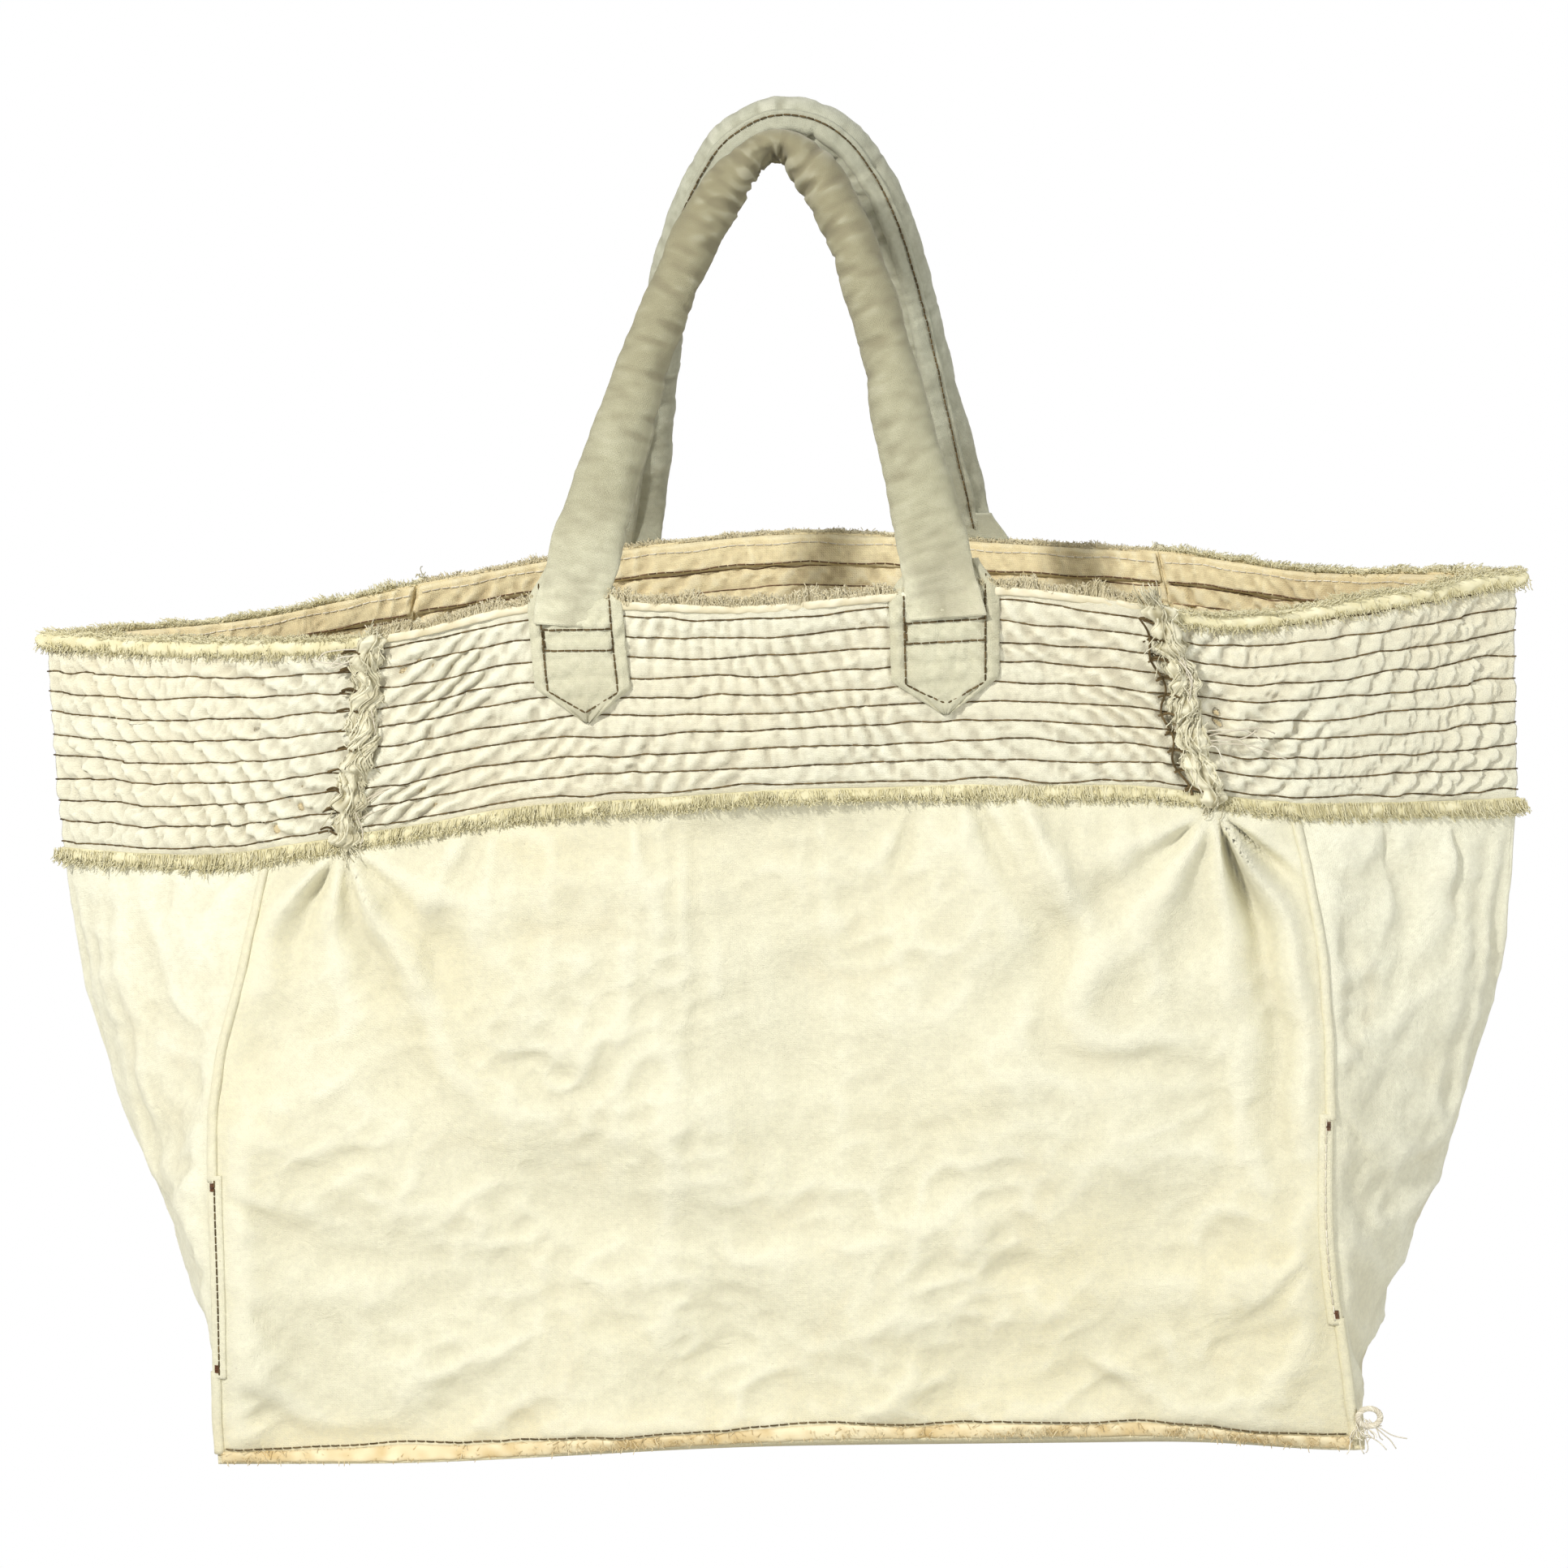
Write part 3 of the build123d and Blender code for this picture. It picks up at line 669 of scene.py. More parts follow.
def gatheredSeam(face, hand, pale, thread, rng):
    # Seam allowances twisted into a bundle that every row of stitches pinches, with tufts and loose
    # threads.
    part, side = face, -1 if hand == "left" else 1
    seed = {"front": 0, "back": 2}[face] + (side > 0)
    name = f"{face}{hand.title()}Gather"

    def spine(w, out):
        return bandPoint(part, side * (1.0 + 0.007 * np.sin(w * 9 + seed * 1.7) + 0.004 * np.sin(w * 23)),
                         w, -out)

    w = np.linspace(-0.03, 1.02, 240)[:, None]
    theta = np.linspace(0, 2 * np.pi, 36, endpoint=False)[None, :]

    def turned(at):
        slow, quick = np.sin(2 * np.pi * 1.7 * at + seed), np.sin(2 * np.pi * 4.1 * at + 2 * seed)
        return 2 * np.pi * 0.55 * at + 0.8 * slow + 0.4 * quick

    def girth(at, twist):
        # Three soft strands side by side, drawn in at every row, with lengthwise creases.
        pinch = np.exp(-(((np.mod(rowShare(at) + 0.5, 1) - 0.5) / 0.17) ** 2))
        ends = smooth(at, -0.03, 0.03) * smooth(1.02 - at, 0, 0.03)
        ridge = np.abs(np.sin(1.5 * twist + 0.5 * np.sin(at * 21 + seed))) ** 0.8
        spot = np.stack(np.broadcast_arrays(6 * np.cos(twist), 6 * np.sin(twist), at * 26), -1)
        crease = 0.55 - np.abs(ripple(spot, 4.6, 150 + seed))
        lumps = 0.7 * np.sin(at * 37 + seed * 2) + 0.5 * np.sin(at * 71 + seed)
        size = (3.7 + 1.9 * ridge + 1.3 * crease + lumps) * (1 - 0.2 * pinch) * (0.45 + 0.55 * ends)
        # The second value is the tone: lighter on the crowns of the strands, darker in the creases and
        # where each row pinches, which is painted light and shade.
        return size, np.clip(0.12 + 0.62 * ridge + 0.7 * crease - 0.12 * pinch, 0, 1)

    def around(at, angle, size):
        centre = spine(at, 2.6)
        outward = unit(spine(at, 3.6) - centre)
        aside = np.array([1.0, 0, 0]) * (1.12 * size * np.cos(angle))[..., None]
        return centre + aside + outward * (0.9 * size * np.sin(angle))[..., None]

    size, tone = girth(w, theta + turned(w))
    ring = around(w + 0 * theta, theta + 0 * w, size)
    caps = np.stack([np.arange(36)[::-1], np.arange(36) + 239 * 36])
    sides = quadGrid(240, 36, wrap=True)
    if enclosed(ring.reshape(-1, 3), sides) < 0:
        sides, caps = sides[:, ::-1], caps[:, ::-1]
    uv = panelUv(theta * 5 + 1200, w * 92)
    core = makeMesh(name, ring, [sides, caps], pale, uv.reshape(-1, 2), tone)
    hang(core, "bag", f"{face}_{hand}_gathered_seam", slot="raw_edge")

    # loose yarns wound along the bundle
    count = 70
    share = np.linspace(0, 1, 30)[None, :]
    begin, span = rng.uniform(-0.02, 0.85, (count, 1)), rng.uniform(0.12, 0.45, (count, 1))
    at = np.clip(begin + span * share, -0.02, 1.0)
    twist = rng.uniform(0, 2 * np.pi, (count, 1)) + 0.25 * np.sin(at * 30 + rng.uniform(0, 6, (count, 1)))
    size, _ = girth(at, twist)
    paths = around(at, twist - turned(at),
                   size + 0.25 + 0.5 * np.sin(share * np.pi) * rng.random((count, 1)))
    hang(tubes(name + "Yarns", paths, rng.uniform(0.26, 0.5, (count, 1)), pale, sides=5,
               tone=rng.uniform(0.4, 1, count)), "bag", slot="raw_edge")

    # short frayed ends all over it, and the tufts at its top and bottom
    count = 130
    at = rng.uniform(-0.02, 1.02, count)
    angle = rng.uniform(0, np.pi, count)
    start = around(at, angle, 4.2 + 0 * at)
    way = np.stack([0.6 * np.cos(angle) + rng.normal(0, 0.3, count) + 0.1 * side, rng.normal(0, 0.2, count),
                    rng.choice([-1, 1], count) * rng.uniform(0.3, 1, count)], -1)
    way[:, 1] += (-1 if face == "front" else 1) * 0.2 * np.sin(angle)
    size = rng.gamma(3, 1.1, count)
    share = np.linspace(0, 1, 7)[None, :, None]
    fall = np.array([0, 0, -1.6])
    paths = start[:, None] + unit(way)[:, None] * size[:, None, None] * share + fall * share**2
    paths = paths + 0.7 * np.sin(share * 5 + rng.uniform(0, 6, (count, 1, 3))) * share
    tuftCount = 70 if face == "front" else 26
    reach = {"frontleft": 7.0, "frontright": 13.0}.get(face + hand, 4.0)
    top = np.where(rng.random(tuftCount) < 0.66, 0.99, -0.01)
    begin = spine(top, 2.6) + rng.normal(0, 1.5, (tuftCount, 3))
    rise = np.where(top > 0.5, rng.uniform(0.35, 1, tuftCount) * reach, -rng.uniform(3, 8, tuftCount))
    lean = np.stack([rng.normal(-0.45 if side > 0 else 0.3, 0.3, tuftCount), rng.normal(0, 0.2, tuftCount),
                     np.sign(rise)], -1)
    tufts = begin[:, None] + unit(lean)[:, None] * np.abs(rise)[:, None, None] * share
    tufts = tufts + 1.1 * np.sin(share * 4 + rng.uniform(0, 6, (tuftCount, 1, 3))) * share
    every = np.concatenate([paths, tufts])
    hang(tubes(name + "Fray", every, 0.25, pale, tone=rng.uniform(0.3, 1, len(every))), "bag",
         slot="raw_edge")

    # two stitches that wrap it at every row, and on the front right a line of stitches beside it
    rows = 1 - firstRow - rowStep * np.arange(rowCount)
    arc = np.linspace(0, 1, 15)[None, :]
    wraps = []
    for shift, far, close in ((-0.004, -11.0, -2.6), (0.004, -10.2, -3.2)):
        wAt = (rows + shift)[:, None] + rng.normal(0, 0.004, rowCount)[:, None] + 0.012 * np.sin(arc * 3)
        off = mix(far, close + rng.uniform(-1.5, 1.2, rowCount)[:, None], arc)
        base = spine(wAt, 0.5 + 0 * arc)
        lift = 2.3 + 3.6 * smooth(off, -7.5, -1.5)
        wraps.append(base + np.array([1.0, 0, 0]) * off[..., None]
                     + (spine(wAt, 1.5) - base) * lift[..., None])
    if face == "front" and side > 0:
        ladder = np.linspace(0.04, 0.95, 23)
        wAt = mix(ladder[:-1, None], ladder[1:, None] + 0.006, arc)
        base = spine(wAt, 0.5)
        wraps.append(base + np.array([1.0, 0, 0]) * (-8.6 + 0.9 * np.sin(wAt * 23))[..., None]
                     + (spine(wAt, 1.5) - base) * 2.7)
    wraps = np.concatenate(wraps)
    sewOn(name + "Wraps", wraps, 0.5, thread, rng)


def looseThreads(material):
    # A few long pale threads that hang in loops by the front gathers; each is a quadratic curve with a
    # little curl.
    loops = [
        # side, w, then the middle and the end as millimetres right, up and out from the start
        (1, 0.86, (9, -7, 5), (5, -24, 3)), (1, 0.80, (12, -12, 6), (3, -30, 4)),
        (1, 0.72, (10, -6, 6), (6, -22, 3)),
        (1, 0.36, (16, 4, 4), (30, -4, 1)), (1, 0.34, (14, -3, 5), (27, 3, 2)),
        (1, 0.30, (18, 2, 3), (38, -7, 1)),
        (1, 0.22, (6, 12, 6), (11, -4, 3)), (1, 0.30, (-4, -10, 6), (3, -20, 3)),
        (-1, 0.92, (-9, 2, 5), (-19, -5, 2)),
        (-1, 0.90, (-12, -3, 4), (-24, 1, 1)), (-1, 0.16, (22, 18, 4), (30, 1, 2)),
        (-1, 0.1, (18, 10, 3), (34, 8, 2)),
        (-1, 0.2, (6, -8, 6), (3, -20, 3)), (-1, 0.72, (5, -6, 6), (3, -17, 4)),
        (1, 0.33, (20, 6, 5), (33, 2, 1)),
        (1, 0.28, (12, 8, 5), (24, -2, 2)), (1, 0.76, (8, -4, 6), (7, -16, 4)),
        (1, 0.66, (7, -6, 5), (2, -22, 3)),
        (-1, 0.13, (26, 24, 4), (34, -4, 2)), (-1, 0.94, (-14, 3, 4), (-22, -3, 2)),
        (-1, 0.96, (-8, -6, 5), (-17, -8, 2)),
    ]
    share = np.linspace(0, 1, 15)[:, None]
    rng = np.random.default_rng(8)
    paths = []
    for side, w, middle, end in loops:
        start = bandPoint("front", side * 1.0, w, -4.0)
        middle, end = (np.array([p[0], -p[2] + 3, p[1]], float) for p in (middle, end))
        curve = start + 2 * share * (1 - share) * middle * 1.2 + share**2 * end
        paths.append(curve + 0.5 * np.sin(share * 9 + rng.uniform(0, 6, 3)) * share)
    hang(tubes("looseThreads", np.array(paths), 0.27, material, sides=4, tone=rng.random(len(paths))),
         "bag", slot="thread")


# bottom and top of each pocket mouth above the floor, and the height that a side seam covers
mouths = {"left": (45, 131), "right": (60, 143)}
seamHeight = 268


def mouthShare(z):
    # Share of the side seam at height z.
    return (z - floorLine) / seamHeight


def sideSeam(face, hand, material):
    # Welt over a side seam: half a sine wave across, waved along; the front one leaves out the pocket
    # mouth.
    side = -1 if hand == "left" else 1
    low, high = mouths[hand]
    spans = [(0.02, 0.985)]
    if face == "front":
        spans = [(0.02, mouthShare(low)), (mouthShare(high), 0.985)]
    pieces, name = [], f"{face}{hand.title()}SideSeam"
    for start, end in spans:
        rows = max(12, int((end - start) * 150))
        v = np.linspace(start, end, rows)[:, None]
        across = np.linspace(0, 1, 7)[None, :]
        a = side * (1.0 + 0.007 - across * 0.019)
        wave = 0.0016 * ripple(onCloth(v * 280, 0 * v), 30, 21)
        high = 0.3 + 1.5 * np.sin(across * np.pi) ** 0.55 + 0.25 * ripple(onCloth(v * 280, across * 4), 12,
                                                                          22)
        outer = panelPoint(face, np.clip(a + wave, -1.009, 1.009), v, -high)
        inner = panelPoint(face, np.clip(a + wave, -1.009, 1.009), v, 0.6 + 0 * across)
        pieces.append(slab(name + str(len(pieces)), outer, inner,
                           panelUv(across * 5 + 300, v * 286), material))
    for piece in pieces:
        hang(piece, "bag", f"{face}_{hand}_side_seam", slot="body_canvas")


def barTack(face, side, v, wide=2.0):
    # Eight close stitches one above another across the end of a pocket mouth.
    levels = v + np.linspace(-0.006, 0.006, 8)
    share = np.linspace(0, 1, 5)[None, :]
    a = side * (0.998 - (wide / 240) * share)
    return np.stack([panelPoint(face, a, np.full_like(a, w), -1.9 - 0.3 * np.sin(share * np.pi))
                     for w in levels])[:, 0]


def pocket(hand, material, inside, thread, rust, rng):
    # Stitched welt, bar tacks and the flat bag of a pocket; the bag is closed along its seam and hangs
    # 14 mm inside, with slow waves.
    side = -1 if hand == "left" else 1
    low, high = mouths[hand]
    v = np.linspace(mouthShare(low) - 0.01, mouthShare(high) + 0.01, 70)[:, None]
    across = np.linspace(0, 1, 9)[None, :]
    a = side * (1.004 - across * 0.027)
    lift = 0.3 + 1.5 * np.sin(np.clip(across * 1.1, 0, 1) * np.pi) ** 0.4
    welt = slab(f"{hand}PocketWelt", panelPoint("front", a, v, -lift),
                panelPoint("front", a, v, 0.5 + 0 * across),
                panelUv(across * 6 + 320, v * 286), material)
    hang(welt, "bag", slot="body_canvas")
    rows = np.linspace(v[0, 0] + 0.006, v[-1, 0] - 0.006, int((high - low) / 3.4) + 1)
    share = np.linspace(0.1, 0.94, 5)[None, :]
    path = mix(rows[:-1, None], rows[1:, None], share)
    line = panelPoint("front", side * 0.990 + 0 * path, path, -1.75 - 0.35 * np.sin(share * np.pi))
    sewOn(f"{hand}PocketStitches", line, 0.34, thread, rng)
    tacks = np.concatenate([barTack("front", side, mouthShare(z)) for z in (low + 2, high - 2)])
    sewOn(f"{hand}PocketTacks", tacks, 0.2, rust, rng)
    a = side * np.linspace(0.47, 0.985, 50)[None, :]
    v = np.linspace(0.09, 0.6, 50)[:, None]
    shut = smooth(0.985 - np.abs(a), 0, 0.06) + 0 * v
    waves = 0.8 * ripple(onCloth(a * 240, v * 286), 40, 23)
    deep = 2.4 + 12 * shut + waves * shut
    bag = slab(f"{hand}PocketBag", panelPoint("front", a, v, deep), panelPoint("front", a, v, deep + 0.9),
               panelUv(a * 240 + 600, v * 286), inside)
    hang(bag, "bag", f"{hand}_pocket_bag", slot="inner_canvas")


def base(material):
    # Bottom piece: two faces 2 mm apart, with broad waves above, and its front edge turned up.
    x = np.linspace(-1, 1, 120)[None, :]
    y = np.linspace(-1, 1, 90)[:, None]
    half = 244 + 4 * (1 - y**2)
    level = bodyLevel(0 * x)
    px, py = x * half, y * faceDepth(level, x * 240, 0)
    relief = 0.5 * ripple(onCloth(px, py), 60, 24)
    top = np.stack(np.broadcast_arrays(px, py, 2.2 + relief), -1)
    under = onCloth(px, py)
    rim = smooth(1 - np.abs(x), 0, 0.01) * smooth(1 - np.abs(y), 0, 0.03)
    under[..., 2] = 0.8 * (1 - rim) + 0 * under[..., 2]
    turned = curl(px) * (1 - np.clip((py + faceDepth(level, x * 240, 0)) / 24, 0, 1)) ** 1.6
    top[..., 2], under[..., 2] = top[..., 2] + turned, under[..., 2] + turned
    hang(slab("basePanel", top, under, panelUv(px, py), material), "bag", "base_panel", slot="body_canvas")


def baseFringe(face, material, thread, rng):
    # Rolled edge, short frayed yarns and a row of stitches along the bottom of the front or back.
    a = np.linspace(-0.992, 0.992, 330)[None, :]
    share = np.linspace(0, 1, 9)[:, None]
    wave = ripple(onCloth(a * 240, 0 * share), 50, 25)
    v = mix(0.024, 0.004, share) + 0.003 * wave * (1 - share)
    lumps = ripple(onCloth(a * 240, share * 6), 9, 26)
    lift = 0.5 + 1.2 * np.sin(share * np.pi) ** 0.6 + 0.3 * lumps
    # The roll is lighter where its lumps stand out, painted light and shade, and its tone also drifts with
    # the wave of its edge.
    strip = slab(f"{face}BaseEdge", panelPoint(face, a, v, -lift), panelPoint(face, a, v, 0.3 + 0 * lift),
                 panelUv(a * 240, share * 7 + 70), material,
                 tone=0.5 + 0.3 * lumps + 0.35 * wave + 0 * share)
    hang(strip, "bag", f"{face}_base_fringe", slot="raw_edge")
    count = 1300
    a = rng.uniform(-0.99, 0.99, count)
    v = rng.uniform(0.010, 0.026, count)
    root = panelPoint(face, a, v, -0.8)
    side = -1 if face == "front" else 1
    way = np.stack([rng.normal(0, 0.9, count), side * rng.uniform(0.05, 0.5, count),
                    -rng.uniform(0.2, 1, count)], -1)
    size = rng.uniform(1.5, 4.0, count)
    steps = np.linspace(0, 1, 4)[None, :, None]
    paths = root[:, None] + unit(way)[:, None] * size[:, None, None] * steps
    paths[..., 2] = np.maximum(paths[..., 2], 0.35)
    hang(tubes(f"{face}BaseFray", paths, 0.19, material, tone=rng.random(count)), "bag", slot="raw_edge")
    marks = np.linspace(-0.985, 0.985, 118)
    part = np.linspace(0.08, 0.9, 5)[None, :]
    at = mix(marks[:-1, None], marks[1:, None], part)
    rise = 0.029 + 0.003 * ripple(np.stack([at * 240, 0 * at, 0 * at], -1), 50, 25)
    line = panelPoint(face, at, rise, -0.45 - 0.35 * np.sin(part * np.pi))
    sewOn(f"{face}BaseStitches", line, 0.34, thread, rng)


def cornerKnot(material, rng):
    # A ring of twisted thread that hangs on the front right corner, with loose ends.
    corner = panelPoint("front", 1.0, 0.05, 0)
    turn = np.linspace(0, 2 * np.pi, 60)
    rings = []
    for n in range(4):
        twist = 2 * np.pi * n / 4 + turn * 5
        r = 4.6 + 0.75 * np.cos(twist)
        rings.append(np.stack([corner[0] + 6.0 + r * np.cos(turn), corner[1] - 1.9 + 0.75 * np.sin(twist),
                               corner[2] + 2.2 + 0.85 * r * np.sin(turn)], -1))
    hang(tubes("cornerKnot", np.array(rings), 0.62, material, sides=6, tone=rng.random(4), up=(0, 1, 0.01)),
         "bag",
         "corner_knot", slot="thread")
    share = np.linspace(0, 1, 12)[:, None]
    ends = []
    for n in range(22):
        begin = corner + np.array([rng.uniform(-1, 6), -1.2, rng.uniform(-5, 5)])
        way = np.array([rng.normal(0.45, 0.5), rng.normal(-0.15, 0.15),
                        -rng.uniform(0.2, 1.1)]) * rng.uniform(5, 15)
        path = begin + way * share + np.sin(share * 6 + rng.uniform(0, 6, 3)) * share
        path[:, 2] = np.maximum(path[:, 2], 0.5)
        ends.append(path)
    hang(tubes("cornerThreads", np.array(ends), 0.26, material, sides=4, tone=rng.random(len(ends))), "bag",
         slot="thread")


def facingPush(part, s, w):
    # Relief of the facing: loose upright puckers, a few broad waves and a little of the quilting below.
    s, w = np.broadcast_arrays(np.asarray(s, float), np.asarray(w, float))
    spot = np.stack([s * 170, w * 30, 0 * s], -1)
    waves, puckers = np.maximum(ripple(spot, 26, 27), -0.6), 0.5 - np.abs(ripple(spot, 12, 29))
    return 0.9 + 0.6 * waves + 0.5 * quilted(part, s, w) + 1.0 * puckers


def facing(part, material, thread, pale, rng):
    # Strip sewn along the inside of the rim, with a row of stitches near its lower edge.
    s = bandColumns(part)[None, :] * 0.992
    w = np.linspace(0.845, 0.992, 22)[:, None]
    push = facingPush(part, s, w)
    outer = bandPoint(part, s, w, 4.3 + (0.8 + push) * smooth(w, 0.838, 0.866) * smooth(0.998 - w, 0, 0.02))
    back = bandPoint(part, s, w, 3.6 + 0 * push)
    strip = slab(part + "Facing", back, outer, panelUv(s * 170 + 1500, w * 92), material,
                 ridges(outer, back, 3, 1.4))
    hang(strip, "bag", part + "_top_facing", slot="inner_canvas")
    count = int(340 / 4.1)
    marks = np.linspace(-0.985, 0.985, count)
    share = np.linspace(0.1, 0.94, 5)[None, :]
    at = mix(marks[:-1, None], marks[1:, None], share)
    for name, level, kind in (("Low", 0.862, thread), ("High", 0.955, pale)):
        wAt = level + 0.004 * np.sin(at * 31)
        deep = 4.3 + 0.8 + facingPush(part, at, wAt) + 0.35 * np.sin(share * np.pi)
        hang(tubes(f"{part}Facing{name}Stitches", bandPoint(part, at, wAt, deep), 0.3, kind, sides=5,
                   tone=rng.random(len(at))), "bag", slot="thread")


tab = {"tip": 318.0, "top": 382.0, "middle": 75.0, "half": 21.5}
hinge = {"depth": 77.0, "height": 360.0}


def tabWidth(z):
    # Half width of a tab: a point that opens to the full width over 15 mm, and rounded shoulders at the
    # top.
    return tab["half"] * np.minimum(1, (z - tab["tip"] + 0.8)
                                    / 15.5) * (1 - 0.42 * smooth(z, 364, 384) ** 1.5)


def onBand(face, x, z, lift):
    # A point at x and height z, lift millimetres outside the band and its quilting; above the rim it
    # carries on along the leaning handle.
    back = float(face == "back")
    low, high = edgeHeight("hem", x, back), edgeHeight("rim", x, back)
    w = np.clip((z - low) / (high - low), 0, 0.985)
    point = bandSkin(face, x / mix(gatherHem, gatherRim, w), w, lift)
    over = np.maximum(z - mix(low, high, 0.985), 0)
    side = -1 if face == "front" else 1
    point[..., 2] = point[..., 2] + over
    point[..., 1] = point[..., 1] - side * over * 0.24
    return point


def buildTab(face, hand, material, thread, rng):
    # Handle tab: rolled edges, a groove along the stitches and small rumples above the band; its top
    # moves over from the bag to the handle.
    side = -1 if hand == "left" else 1
    r = np.linspace(0, 1, 60)[:, None]
    s = np.linspace(-1, 1, 44)[None, :]
    z = mix(tab["tip"], tab["top"], r**0.9)
    tilt = 1.2 * side
    x = side * tab["middle"] + s * tabWidth(z) + tilt * (z - 350) / 30
    spot = onCloth(s * 22, z)
    rumple = 0.3 * ripple(spot + side * 7, 13, 28) + 0.22 * ripple(spot, 6, 29)
    rolled = (1 - smooth(np.abs(s), 0.80, 1.0)) * smooth(r, 0, 0.05)
    sewnRows = (bump(z, 348.5, 1.3) + bump(z, 357.0, 1.3)) * (np.abs(s) < 0.73)
    hollow = 0.7 * bump(np.abs(s), 0.735, 0.05) + 0.5 * sewnRows
    lift = 1.3 + 1.25 * rolled + 0.5 * bump(np.abs(s), 0.88, 0.08) + rumple - hollow
    outer, inner = onBand(face, x, z, lift), onBand(face, x, z, 0.5 + 0 * lift)
    name = f"{face}{hand.title()}Tab"
    piece = slab(name, outer, inner, panelUv(s * 22 + side * 60 + 700, z + 0 * s), material)
    lines = []

    def sew(ends):
        # Stitches along straight runs between corner points given as (share across, height).
        for (s0, z0), (s1, z1) in zip(ends[:-1], ends[1:]):
            run = math.hypot((s1 - s0) * tab["half"], z1 - z0)
            marks = np.linspace(0, 1, max(2, round(run / 3.1)) + 1)
            share = np.linspace(0.08, 0.93, 5)[None, :]
            at = mix(marks[:-1, None], marks[1:, None], share)
            sAt, zAt = mix(s0, s1, at), mix(z0, z1, at)
            xAt = side * tab["middle"] + sAt * tab["half"] + tilt * (zAt - 350) / 30
            up = 1.3 + 1.25 - 0.7 + 0.2 + 0 * zAt
            rum = 0.3 * ripple(np.stack([sAt * 22, zAt, 0 * xAt], -1) + side * 7, 13, 28)
            lines.append(onBand(face, xAt, zAt, up + rum + 0.42 * np.sin(share * np.pi)))

    sew([(-0.735, 376), (-0.735, 331.5), (0, 322.8), (0.735, 331.5), (0.735, 376)])
    sew([(-0.735, 348.5), (0.735, 348.9)])
    sew([(-0.735, 357.0), (0.735, 357.6)])
    sew([(-0.70, 349.5), (-0.70, 356.5)])
    paths = np.concatenate(lines)
    stitches = tubes(name + "Stitches", paths, 0.4, thread, sides=5, tone=rng.random(len(paths)))
    for item, node, kind in ((piece, f"{face}_{hand}_tab", "handle_canvas"), (stitches, None, "thread")):
        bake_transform(item)
        hang(item, None, *([node] if node else []), slot=kind)


def patch(face, hand, material, thread, rng):
    # Square of cloth behind a tab, on the lining, with stitches along its four sides.
    side = -1 if hand == "left" else 1
    r, s = np.linspace(0, 1, 24)[:, None], np.linspace(-1, 1, 30)[None, :]
    z, x = mix(325, 350, r), side * tab["middle"] + s * 20 + 0 * r
    back = float(face == "back")
    level = (z - edgeHeight("hem", x, back)) / (edgeHeight("rim", x, back) - edgeHeight("hem", x, back))
    share = x / mix(gatherHem, gatherRim, level)
    piece = slab(f"{face}{hand.title()}Patch", bandLining(face, share, level, 0.2),
                 bandLining(face, share, level, 1.6),
                 panelUv(s * 20 + 800, z + 0 * s), material)
    hang(piece, "bag", f"{face}_{hand}_tab_patch", slot="inner_canvas")
    corners = [(-0.86, 0.1), (0.86, 0.1), (0.86, 0.9), (-0.86, 0.9), (-0.86, 0.1)]
    lines = []
    for (s0, r0), (s1, r1) in zip(corners[:-1], corners[1:]):
        marks = np.linspace(0, 1, round(math.hypot((s1 - s0) * 20, (r1 - r0) * 25) / 3.2) + 1)
        part = np.linspace(0.08, 0.93, 5)[None, :]
        at = mix(marks[:-1, None], marks[1:, None], part)
        xAt, zAt = side * tab["middle"] + mix(s0, s1, at) * 20, mix(325, 350, mix(r0, r1, at))
        w = (zAt - edgeHeight("hem", xAt, back)) / (edgeHeight("rim", xAt, back)
                                                    - edgeHeight("hem", xAt, back))
        lines.append(bandLining(face, xAt / mix(gatherHem, gatherRim, w), w,
                                1.7 + 0.4 * np.sin(part * np.pi)))
    paths = np.concatenate(lines)
    hang(tubes(f"{face}{hand.title()}PatchStitches", paths, 0.36, thread, sides=5,
               tone=rng.random(len(paths))), "bag",
         slot="thread")


handles = {
    # half spread and height above the hinge line; crown: shift to the right; pinch: how far the crown is
    # squeezed
    "front": {"line": [(76, -1.5), (75, 12), (69.5, 36), (62.5, 60), (51, 104), (41.5, 132), (32, 157),
                       (19, 181), (0, 199)],
              "crown": 11.5, "pinch": 0.43, "lean": 15.0},
    "back": {"line": [(76, -1.5), (74, 14), (69.5, 38), (63.5, 72), (56, 112), (47, 148), (35, 178),
                      (20, 199), (0, 207)],
             "crown": 6.5, "pinch": 0.06, "lean": 15.0},
}


def rounded(points, times=4):
    # Corner cutting: each pass replaces every corner by two points a quarter of the way along its sides.
    for _ in range(times):
        a, b = points[:-1], points[1:]
        cut = np.stack([0.75 * a + 0.25 * b, 0.25 * a + 0.75 * b], 1).reshape(-1, points.shape[1])
        points = np.concatenate([points[:1], cut, points[-1:]])
    return points


def handleLine(face, count):
    # Centre line of a handle in the bag's frame, with its inward and facing directions and the length so
    # far.
    shape = handles[face]
    half = np.array(shape["line"], float)
    whole = np.concatenate([half * [-1, 1], half[-2::-1]])
    whole[:, 0] += shape["crown"] * np.clip(whole[:, 1] / 190, 0, 1) ** 1.3 + (6 if face == "back" else 0)
    whole = rounded(whole)
    length = np.concatenate([[0], np.cumsum(np.linalg.norm(np.diff(whole, axis=0), axis=1))])
    at = np.linspace(0, length[-1], count)
    x, h = np.interp(at, length, whole[:, 0]), np.interp(at, length, whole[:, 1])
    side = -1 if face == "front" else 1
    lean = math.radians(shape["lean"])
    tuck = 7.3 * (1 - smooth(h, -6, 34))
    centre = np.stack([x, side * (hinge["depth"] - tuck - h * math.sin(lean)),
                       hinge["height"] + h * math.cos(lean)], -1)
    along = unit(np.gradient(centre, axis=0))
    facing = unit(np.array([0, -side * math.cos(lean), -math.sin(lean)]))
    facing = np.broadcast_to(facing, along.shape)
    inward = unit(np.cross(along, facing)) * (1 if face == "back" else -1)
    return centre, along, inward, facing, at


